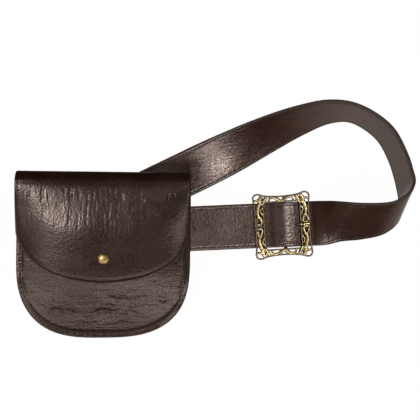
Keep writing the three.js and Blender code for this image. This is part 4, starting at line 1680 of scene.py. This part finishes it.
    def profile(self) -> Array:
        """Section of the strap: two flat faces with a sewn groove near each edge, and round edges.

        Returns:
            Closed outline as across and out.
        """
        half, edge = self.width / 2, self.thick / 2
        sewn = half - self.sewn_inset
        inner = np.linspace(0, sewn - self.face_clear, self.face_rows)
        right = np.concatenate([inner, sewn + np.array(self.groove_rows)])
        v = np.concatenate([-right[:0:-1], right])
        dip = self.groove * bell(np.abs(v), sewn, self.groove_reach)
        angle = np.radians(np.linspace(self.edge_turn, -self.edge_turn, self.edge_rows))
        turn = np.stack([half - edge + edge * np.cos(angle), edge * np.sin(angle)], axis=1)
        top = np.stack([v, edge - dip], axis=1)
        return np.vstack([top, turn, top[::-1] * np.array([1.0, -1.0]), turn[::-1] * np.array([-1.0, 1.0])])

    def strap(self) -> Shell:
        """The strap: its section carried along the whole path."""
        path, across, out = self.sections()
        profile = self.profile()
        shell = carried(path, across, out, profile)
        beside = bell(np.abs(profile[:, 0]), self.width / 2, EDGE_FADE)
        shell.edge = np.concatenate([np.tile(beside, len(path)), [1.0, 1.0]])
        return shell

    def cutters(self) -> list[Shell]:
        """Punched holes of the front run, and the slot for the prong's ring."""
        rows = sorted(self.free, key=lambda row: row.u)
        made = []
        for u in self.hole_u:
            top = float(table_at(rows, "u", "z", np.array(u))) + self.thick / 2
            profile = np.array(self.hole_profile) * np.array([self.hole_radius, 1.0]) + np.array([0.0, top])
            made.append(turned_shape(profile, u, 0.0, self.hole_sides))
        angle = full_turn(self.slot_sides)
        slot = self.slot_radius * np.stack([np.cos(angle), np.sin(angle)], axis=1)
        path = np.array([[self.bar.u, v, self.bar.z] for v in (-self.slot_half, self.slot_half)])
        side, up = np.broadcast_to(np.array([-1.0, 0.0, 0.0]), path.shape), np.broadcast_to(UP, path.shape)
        made.append(replace(carried(path, side, up, slot), corner_uv=None))
        return [shell.moved(self.run.on_table) for shell in made]

    def stitching(self, stitch: Stitch) -> list[Shell]:
        """Stitches along both edges on both faces, in the grooves."""
        path, across, out = self.sections()
        reach = self.width / 2 - self.sewn_inset
        rise = self.thick / 2 - self.groove
        rows = []
        for edge in (1, -1):
            for face in (1, -1):
                line = path + across * reach * edge + out * rise * face
                rows.append(stitch.row(line, out * face))
        return rows

    def build(self, finishes: Finishes) -> None:
        """Makes the strap and cuts its holes."""
        piece = self.strap().make("belt")
        for k, cutter in enumerate([*self.cutters(), *self.holes]):
            cut_away(piece, cutter.make(f"cutter_{k}"))
        piece.data.set_sharp_from_angle(angle=np.radians(self.sharp_angle))
        finishes.dress(piece, Look.BELT, "belt_strap")


def applied(piece: bpy.types.Object) -> None:
    """Puts a piece's modifiers into its mesh and removes them."""
    graph = bpy.context.evaluated_depsgraph_get()
    mesh = bpy.data.meshes.new_from_object(piece.evaluated_get(graph))
    old = piece.data
    piece.modifiers.clear()
    piece.data = mesh
    mesh.name = piece.name
    bpy.data.meshes.remove(old)


def cut_away(piece: bpy.types.Object, cutter: bpy.types.Object) -> None:
    """Cuts one closed body out of another and removes the cutter."""
    cut = piece.modifiers.new("cut", "BOOLEAN")
    cut.operation = "DIFFERENCE"
    cut.solver = "EXACT"
    cut.object = cutter
    applied(piece)
    mesh = cutter.data
    bpy.data.objects.remove(cutter)
    bpy.data.meshes.remove(mesh)


# Buckle


class RimRow(NamedTuple):
    """A point of a rim in the buckle's plane."""

    u: float
    v: float


class StrokeRow(NamedTuple):
    """A point of a scroll's middle line and its half width there."""

    u: float
    v: float
    r: float


class ArmRow(NamedTuple):
    """A point of the prong's arm and its half thickness there."""

    u: float
    z: float
    half: float


SCROLLS: dict[str, tuple[StrokeRow, ...]] = {
    "side_stem": (
        StrokeRow(18.4, 20.8, 1.5),
        StrokeRow(20.2, 18.7, 2.2),
        StrokeRow(21.5, 14, 1.8),
        StrokeRow(21.1, 9.8, 1.65),
        StrokeRow(19.3, 6.9, 1.5),
        StrokeRow(18.5, 4, 1.35),
        StrokeRow(19.3, 2, 1.25),
        StrokeRow(21.7, 2, 1.65),
    ),
    "side_spur": (StrokeRow(21, 10.2, 1.1), StrokeRow(22.3, 6.6, 0.9), StrokeRow(23, 4, 0.8)),
    "side_crescent": (
        StrokeRow(16.8, 16.8, 0.85),
        StrokeRow(18.6, 14.9, 0.95),
        StrokeRow(18.5, 12.4, 0.95),
        StrokeRow(16.9, 9.9, 0.85),
    ),
    "top_stem": (
        StrokeRow(0.3, 22, 1.2),
        StrokeRow(2.6, 23.1, 1.45),
        StrokeRow(5.6, 24.9, 1.4),
        StrokeRow(8.8, 25, 1.15),
        StrokeRow(10.6, 23.6, 1),
        StrokeRow(10.8, 21.9, 0.9),
    ),
    "top_leaf": (StrokeRow(15.8, 21.4, 1.2), StrokeRow(14.9, 23.4, 1.95), StrokeRow(13.2, 25.6, 1.4)),
    "corner_rib": (StrokeRow(19.8, 20.6, 1.4), StrokeRow(19, 23.8, 2), StrokeRow(17.4, 26.8, 1.4)),
    "corner_tie": (StrokeRow(19.4, 23, 1.1), StrokeRow(22, 23.4, 1.1), StrokeRow(24.4, 22.8, 0.9)),
    "corner_bridge": (StrokeRow(16, 20.2, 1.1), StrokeRow(19.4, 20.4, 1.3)),
}
CROSS_BLOCK = (StrokeRow(16.6, 0, 1.2), StrokeRow(23.6, 0, 1.2))


@dataclass
class Buckle:
    """The cast buckle: two rims joined by pierced scrolls, a lowered bar, and a prong on the bar."""

    run: FrontRun
    bar: Bar
    turn: float = 3.9
    shift_u: float = -0.3
    shift_v: float = -0.5
    z: float = 10.6
    half: float = 1.4
    rim: float = 0.8
    rim_half: float = 0.95
    block_half: float = 0.6
    window_u: float = 16.4
    window_v: float = 21.3
    corner: float = 3.0
    stop_u: float = 6.0
    stop_v: float = 8.5
    sides: int = 14
    cap_turns: tuple[float, ...] = (15.0, 35.0, 55.0, 72.0, 84.0)
    corner_rows: int = 4
    rim_steps: int = 8
    scroll_steps: int = 10
    bar_steps: int = 8
    voxel: float = 0.27
    prong_width: float = 2.4
    prong_clear: float = 0.25
    prong_sides: int = 20
    prong_steps: int = 10
    prong_round: float = 0.7
    taper_from: float = 0.7
    taper_to: float = 0.75
    ring_inner: float = 1.9
    ring_outer: float = 4.1
    ring_rows: int = 49
    outer_rim: tuple[RimRow, ...] = (
        RimRow(0, 25.9),
        RimRow(7, 26.1),
        RimRow(13.5, 26.8),
        RimRow(17.5, 27.8),
        RimRow(19.8, 28.6),
        RimRow(21.9, 28.7),
        RimRow(23.8, 27.8),
        RimRow(24.9, 25.9),
        RimRow(24.9, 23.4),
        RimRow(24.3, 19),
        RimRow(24.1, 13),
        RimRow(24, 7),
    )
    post: tuple[RimRow, ...] = (RimRow(21.2, 5.2), RimRow(22.4, 6.4), RimRow(22.6, 8.6), RimRow(23.8, 10.6))
    arm: tuple[ArmRow, ...] = (
        ArmRow(4.9, 6.2, 0.9),
        ArmRow(8.2, 7.7, 0.9),
        ArmRow(11.3, 9.6, 0.9),
        ArmRow(14.4, 12, 0.9),
        ArmRow(18, 13.2, 0.9),
        ArmRow(24, 13.1, 0.6),
    )

    def ridge(self, line: Array, radius: Array, half: float, closed: bool) -> Shell:
        """A ridge with a lens-shaped section along a line in the buckle's plane, with round ends.

        Args:
            line: Points of the line as u and v.
            radius: Half width at each point.
            half: Half height of the ridge.
            closed: True for a rim that returns on itself.

        Returns:
            The closed ridge.
        """
        if closed:
            line = np.vstack([line, line[:1]])
            radius = np.concatenate([radius, radius[:1]])
            run = np.gradient(np.vstack([line[-2:-1], line, line[1:2]]), axis=0)[1:-1]
            height = np.ones(len(line))
        else:
            run = unit(np.gradient(line, axis=0))
            cap = np.radians(np.array(self.cap_turns))
            head = line[0] - run[0] * radius[0] * np.sin(cap[::-1])[:, None]
            foot = line[-1] + run[-1] * radius[-1] * np.sin(cap)[:, None]
            line = np.vstack([head, line, foot])
            run = np.vstack([np.tile(run[0], (len(cap), 1)), run, np.tile(run[-1], (len(cap), 1))])
            height = np.concatenate([np.cos(cap[::-1]), np.ones(len(radius)), np.cos(cap)])
            radius = np.concatenate([radius[0] * np.cos(cap[::-1]), radius, radius[-1] * np.cos(cap)])
        forward = unit(run)
        flat = np.zeros(len(line))
        path = np.stack([line[:, 0], line[:, 1], flat + self.z], axis=1)
        aside = np.stack([-forward[:, 1], forward[:, 0], flat], axis=1)
        angle = full_turn(self.sides)
        wide, high = radius[:, None] * np.cos(angle), (height * half)[:, None] * np.sin(angle)
        return carried(path, aside, np.broadcast_to(UP, aside.shape), np.stack([wide, high], axis=-1))

    def rims(self) -> list[Shell]:
        """The outer rim and the window's rim, each a quarter mirrored to a whole line."""
        angle = np.radians(np.linspace(90, 0, self.corner_rows))
        middle = np.array([self.window_u - self.corner, self.window_v - self.corner])
        arc = middle + self.corner * np.stack([np.cos(angle), np.sin(angle)], axis=1)
        across = [[0, self.window_v], [self.stop_u, self.window_v]]
        down = [[self.window_u, self.stop_v], [self.window_u, 0]]
        made = []
        for quarter in (side_by_side(self.outer_rim, "u", "v"), np.vstack([across, arc, down])):
            right = np.vstack([quarter, quarter[::-1] * np.array([1, -1])])
            whole = np.vstack([right, right[::-1] * np.array([-1, 1])])
            apart = np.linalg.norm(whole - np.roll(whole, -1, axis=0), axis=1) > WELD
            line = catmull_rom(whole[apart], self.rim_steps, Spacing.UNIFORM, closed=True)
            made.append(self.ridge(line, np.full(len(line), self.rim), self.rim_half, True))
        return made

    def scrolls(self) -> list[Shell]:
        """Every scroll, and the sunk block across each side, mirrored to the four quarters."""
        made = []
        strokes = [(rows, self.half) for rows in SCROLLS.values()] + [(CROSS_BLOCK, self.block_half)]
        for rows, half in strokes:
            fine = catmull_rom(side_by_side(rows, "u", "v", "r"), self.scroll_steps, Spacing.UNIFORM)
            for flip in ((1, 1), (1, -1), (-1, 1), (-1, -1)):
                made.append(self.ridge(fine[:, :2] * np.array(flip), fine[:, 2], half, False))
        return made

    def lowered_bar(self) -> Shell:
        """The bar with its two posts: a round section carried up, across and down."""
        side = side_by_side(self.post, "u", "v")
        line = np.vstack([side[::-1] * np.array([-1, 1]), side])
        fine = catmull_rom(line, self.bar_steps, Spacing.CENTRIPETAL)
        path = np.stack([np.full(len(fine), self.bar.u), fine[:, 0], fine[:, 1]], axis=1)
        along = unit(np.gradient(path, axis=0))
        aside = np.broadcast_to(np.array([1.0, 0.0, 0.0]), along.shape)
        angle = full_turn(self.sides)
        section = self.bar.radius * np.stack([np.cos(angle), np.sin(angle)], axis=1)
        return carried(path, aside, np.cross(along, aside), section)

    def frame_shell(self) -> Shell:
        """Rims, scrolls and bar in their places on the table, still overlapping."""
        shift = np.array([self.shift_u, self.shift_v, 0.0])
        cast = joined([*self.rims(), *self.scrolls()])
        cast = cast.moved(lambda points: self.run.on_table(points + shift, self.turn - self.run.heading))
        return joined([cast, self.lowered_bar().moved(self.run.on_table)])

    def rounded(self) -> tuple[Array, Array]:
        """Unit section of the prong, a square with round corners: a power of cos and sin with their signs."""
        angle = full_turn(self.prong_sides)
        return tuple(np.abs(f) ** self.prong_round * np.sign(f) for f in (np.cos(angle), np.sin(angle)))

    def prong_arm(self, larger: float = 0.0) -> Shell:
        """The prong's arm, from the bar up through the strap and over the far side, tapering to its tip.

        Args:
            larger: How much its section is larger all round, for the hole that it comes through.

        Returns:
            The arm in the run's own axes.
        """
        rows = side_by_side(self.arm, "u", "z", "half")
        fine = catmull_rom(rows, self.prong_steps, Spacing.CENTRIPETAL)
        path = np.stack([fine[:, 0], np.zeros(len(fine)), fine[:, 1]], axis=1)
        along = unit(np.gradient(path, axis=0))
        aside = np.broadcast_to(np.array([0.0, 1.0, 0.0]), along.shape)
        wide, high = self.rounded()
        ends = [0, self.taper_from * len(fine), len(fine) - 1]
        taper = np.interp(np.arange(len(fine)), ends, [1.0, 1.0, self.taper_to])
        half_width = taper[:, None] * self.prong_width / 2 + larger
        section = np.stack([half_width * wide, (fine[:, 2:] + larger) * high], axis=-1)
        return carried(path, aside, np.cross(along, aside), section)

    def prong_hole(self) -> Shell:
        """The hole in the strap: the arm's own shape, a little larger."""
        hole = replace(self.prong_arm(self.prong_clear), corner_uv=None)
        return hole.moved(self.run.on_table)

    def prong_shell(self) -> Shell:
        """The prong: its arm, and a ring round the bar."""
        turn = np.linspace(0, 2 * np.pi, self.ring_rows)
        middle = (self.ring_inner + self.ring_outer) / 2
        half = (self.ring_outer - self.ring_inner) / 2
        out = np.stack([np.cos(turn), np.zeros_like(turn), np.sin(turn)], axis=1)
        ring_path = np.array([self.bar.u, 0.0, self.bar.z]) + out * middle
        beside = np.broadcast_to(np.array([0.0, 1.0, 0.0]), out.shape)
        wide, high = self.rounded()
        section = np.stack([self.prong_width / 2 * wide, half * high], axis=1)
        ring = carried(ring_path, beside, out, section)
        return joined([self.prong_arm(), ring]).moved(self.run.on_table)

    def build(self, finishes: Finishes) -> None:
        """Makes the frame and the prong, each fused into one casting."""
        for shell, name, node in (
            (self.frame_shell(), "buckle", "buckle_frame"),
            (self.prong_shell(), "prong", "buckle_prong"),
        ):
            piece = shell.make(name)
            fuse(piece, self.voxel)
            finishes.dress(piece, Look.CAST, node)


def fuse(piece: bpy.types.Object, voxel: float, soften_by: float = 0.5, times: int = 3) -> None:
    """Fuses overlapping bodies into one skin by a voxel remesh, and softens the steps that it leaves.

    Args:
        piece: The object, whose mesh is replaced.
        voxel: Size of a voxel in millimetres.
        soften_by: Share of the way that each point moves to the middle of its neighbours.
        times: How often it moves.
    """
    remesh = piece.modifiers.new("fuse", "REMESH")
    remesh.mode = "VOXEL"
    remesh.voxel_size = voxel * MM
    soften = piece.modifiers.new("soften", "SMOOTH")
    soften.factor = soften_by
    soften.iterations = times
    applied(piece)
    shade_smooth(piece.data)


# Studio


class Side(Enum):
    """The two halves of the set, which are lit apart."""

    POUCH = "pouch_side"
    BELT = "belt_side"


class Softbox(NamedTuple):
    """A soft light: what it lights, its angles east and north of overhead, its two sides and its power.

    It hangs at the studio's light distance and faces the middle of the table.
    """

    side: Side
    name: str
    east: float
    north: float
    wide: float
    tall: float
    watts: float


@dataclass
class Studio:
    """Pale floor, soft lights and the camera straight above."""

    camera_x: float = -2.7
    camera_y: float = 8.95
    camera_z: float = 1100.0
    seen_mm: float = 378.0
    sensor_mm: float = 36.0
    floor_half: float = 6.0
    floor_drop: float = 0.0004
    floor_grey: float = 0.45
    floor_glow: float = 0.97
    floor_rough: float = 0.9
    floor_specular: float = 0.1
    light_far: float = 1.7
    sky_least: float = 0.03
    sky_low: float = 0.85
    sky_side: float = 0.35
    below_range: tuple[float, float] = (-0.1, 0.25)
    north_range: tuple[float, float] = (0.1, 0.6)
    side_range: tuple[float, float] = (0.5, 0.95)
    sky_colour: Colour = (1.0, 0.9, 0.82)
    backdrop: Colour = (0.95, 0.95, 0.95)
    boxes: tuple[Softbox, ...] = (
        Softbox(Side.POUCH, "west", -28, 7, 0.28, 0.28, 20.0),
        Softbox(Side.POUCH, "far_west", -40, 4, 0.28, 0.28, 2.0),
        Softbox(Side.POUCH, "overhead", 14, 9, 0.28, 0.28, 2.4),
        Softbox(Side.POUCH, "south_west", -40, -40, 0.8, 0.6, 8.5),
        Softbox(Side.POUCH, "south", 3, -38, 0.9, 0.45, 7.8),
        Softbox(Side.POUCH, "south_east", 30, -37, 0.6, 0.5, 6.5),
        Softbox(Side.POUCH, "east", 46, -26, 0.3, 0.3, 2.5),
        Softbox(Side.BELT, "belt_east", 24, 9, 0.28, 0.42, 25.0),
        Softbox(Side.BELT, "belt_south", 3, -27, 0.3, 0.36, 21.5),
        Softbox(Side.BELT, "belt_south_west", -21, -33, 0.2, 0.3, 12.0),
        Softbox(Side.BELT, "belt_west", -24, 6, 0.3, 0.3, 2.4),
        Softbox(Side.BELT, "belt_south_east", 54, -48, 0.5, 0.4, 9.5),
    )
    lit: dict[Side, bpy.types.Collection] = field(default_factory=dict)

    def floor(self) -> None:
        """A wide pale floor that glows a little, so that it stays near white under soft shadows."""
        half, drop = self.floor_half, -self.floor_drop
        mesh = bpy.data.meshes.new("floor")
        corners = [(-half, -half, drop), (half, -half, drop), (half, half, drop), (-half, half, drop)]
        mesh.from_pydata(corners, [], [(0, 1, 2, 3)])
        piece = bpy.data.objects.new("floor", mesh)
        bpy.context.scene.collection.objects.link(piece)
        material, paint = new_material("pale_floor")
        paint.surface(
            {
                "Base Color": opaque((self.floor_grey,) * 3),
                "Roughness": self.floor_rough,
                "Specular IOR Level": self.floor_specular,
                "Emission Color": (1.0, 1.0, 1.0, 1.0),
                "Emission Strength": self.floor_glow,
            }
        )
        mesh.materials.append(material)
        piece.visible_glossy = False

    def lights(self) -> None:
        """Soft boxes round the table, each for its half of the set."""
        self.lit = {side: bpy.data.collections.new(side.value) for side in Side}
        for box in self.boxes:
            lamp = bpy.data.lights.new(box.name, "AREA")
            lamp.shape = "RECTANGLE"
            lamp.size, lamp.size_y, lamp.energy = box.wide, box.tall, box.watts
            light = bpy.data.objects.new(box.name, lamp)
            way = Vector((np.tan(np.radians(box.east)), np.tan(np.radians(box.north)), 1.0)).normalized()
            light.location = way * self.light_far
            light.rotation_euler = (-way).to_track_quat("-Z", "Y").to_euler()
            light.visible_camera = False
            light.light_linking.receiver_collection = self.lit[box.side]
            bpy.context.scene.collection.objects.link(light)

    def sky(self) -> None:
        """A dim sky, brighter at the sides and, below the table, everywhere but to the north.

        The camera sees a plain pale backdrop in its place.
        """
        world = bpy.data.worlds.new("sky")
        world.use_nodes = True
        bpy.context.scene.world = world
        paint = Paint(world.node_tree)
        way = paint.node("ShaderNodeTexCoord", {}, {}, "Generated")
        east, north, up = (paint.node("ShaderNodeSeparateXYZ", {}, {"Vector": way}, axis) for axis in "XYZ")
        low = (0.0 - up).step(*self.below_range)
        southern = self.sky_low * low * (1.0 - north.step(*self.north_range))
        sides = self.sky_side * abs(east).step(*self.side_range) * (1.0 - low)
        level = self.sky_least + southern + sides
        seen = paint.node("ShaderNodeLightPath", {}, {}, "Is Camera Ray")
        tint = paint.blend(level, (0.0, 0.0, 0.0), self.sky_colour)
        colour = paint.blend(seen, tint, self.backdrop)
        glow = paint.node("ShaderNodeBackground", {}, {"Color": colour, "Strength": 1.0})
        paint.node("ShaderNodeOutputWorld", {}, {"Surface": glow})

    def light(self, side: Side, pieces: Sequence[bpy.types.Object]) -> None:
        """Puts pieces in the light of their half of the set."""
        for piece in pieces:
            self.lit[side].objects.link(piece)

    def camera(self) -> None:
        """Camera straight above, its field set by the width of table that it sees."""
        lens = bpy.data.cameras.new("camera")
        lens.sensor_width = self.sensor_mm
        lens.lens = self.sensor_mm * self.camera_z / self.seen_mm
        eye = bpy.data.objects.new("camera", lens)
        eye.location = (self.camera_x * MM, self.camera_y * MM, self.camera_z * MM)
        bpy.context.scene.collection.objects.link(eye)
        bpy.context.scene.camera = eye
        bpy.context.scene.view_settings.view_transform = "Standard"

    def build(self) -> None:
        """Sets up the whole studio."""
        self.camera()
        self.floor()
        self.lights()
        self.sky()


def main() -> None:
    logging.basicConfig(level=logging.INFO, format="%(name)s %(message)s")
    studio, finishes, stitch = Studio(), Finishes(), Stitch()
    studio.build()
    finishes.build()
    place, run, bar = PouchPlace(), FrontRun(), Bar()
    body, flap, tunnel, snap = PouchBody(place), Flap(place), BeltTunnel(place), Snap(place)
    for part in (body, flap, tunnel, snap):
        part.build(finishes)
    for name, part in (("pouch_stitching", body), ("flap_stitching", flap), ("tunnel_stitching", tunnel)):
        finishes.dress(joined(part.stitching(stitch)).make(name), Look.THREAD)
    studio.light(Side.POUCH, finishes.fresh())
    buckle = Buckle(run, bar)
    belt = Belt(run, bar, [buckle.prong_hole()])
    for part in (belt, buckle):
        part.build(finishes)
    finishes.dress(joined(belt.stitching(stitch)).make("belt_stitching"), Look.THREAD)
    studio.light(Side.BELT, finishes.fresh())


if __name__ == "__main__":
    main()
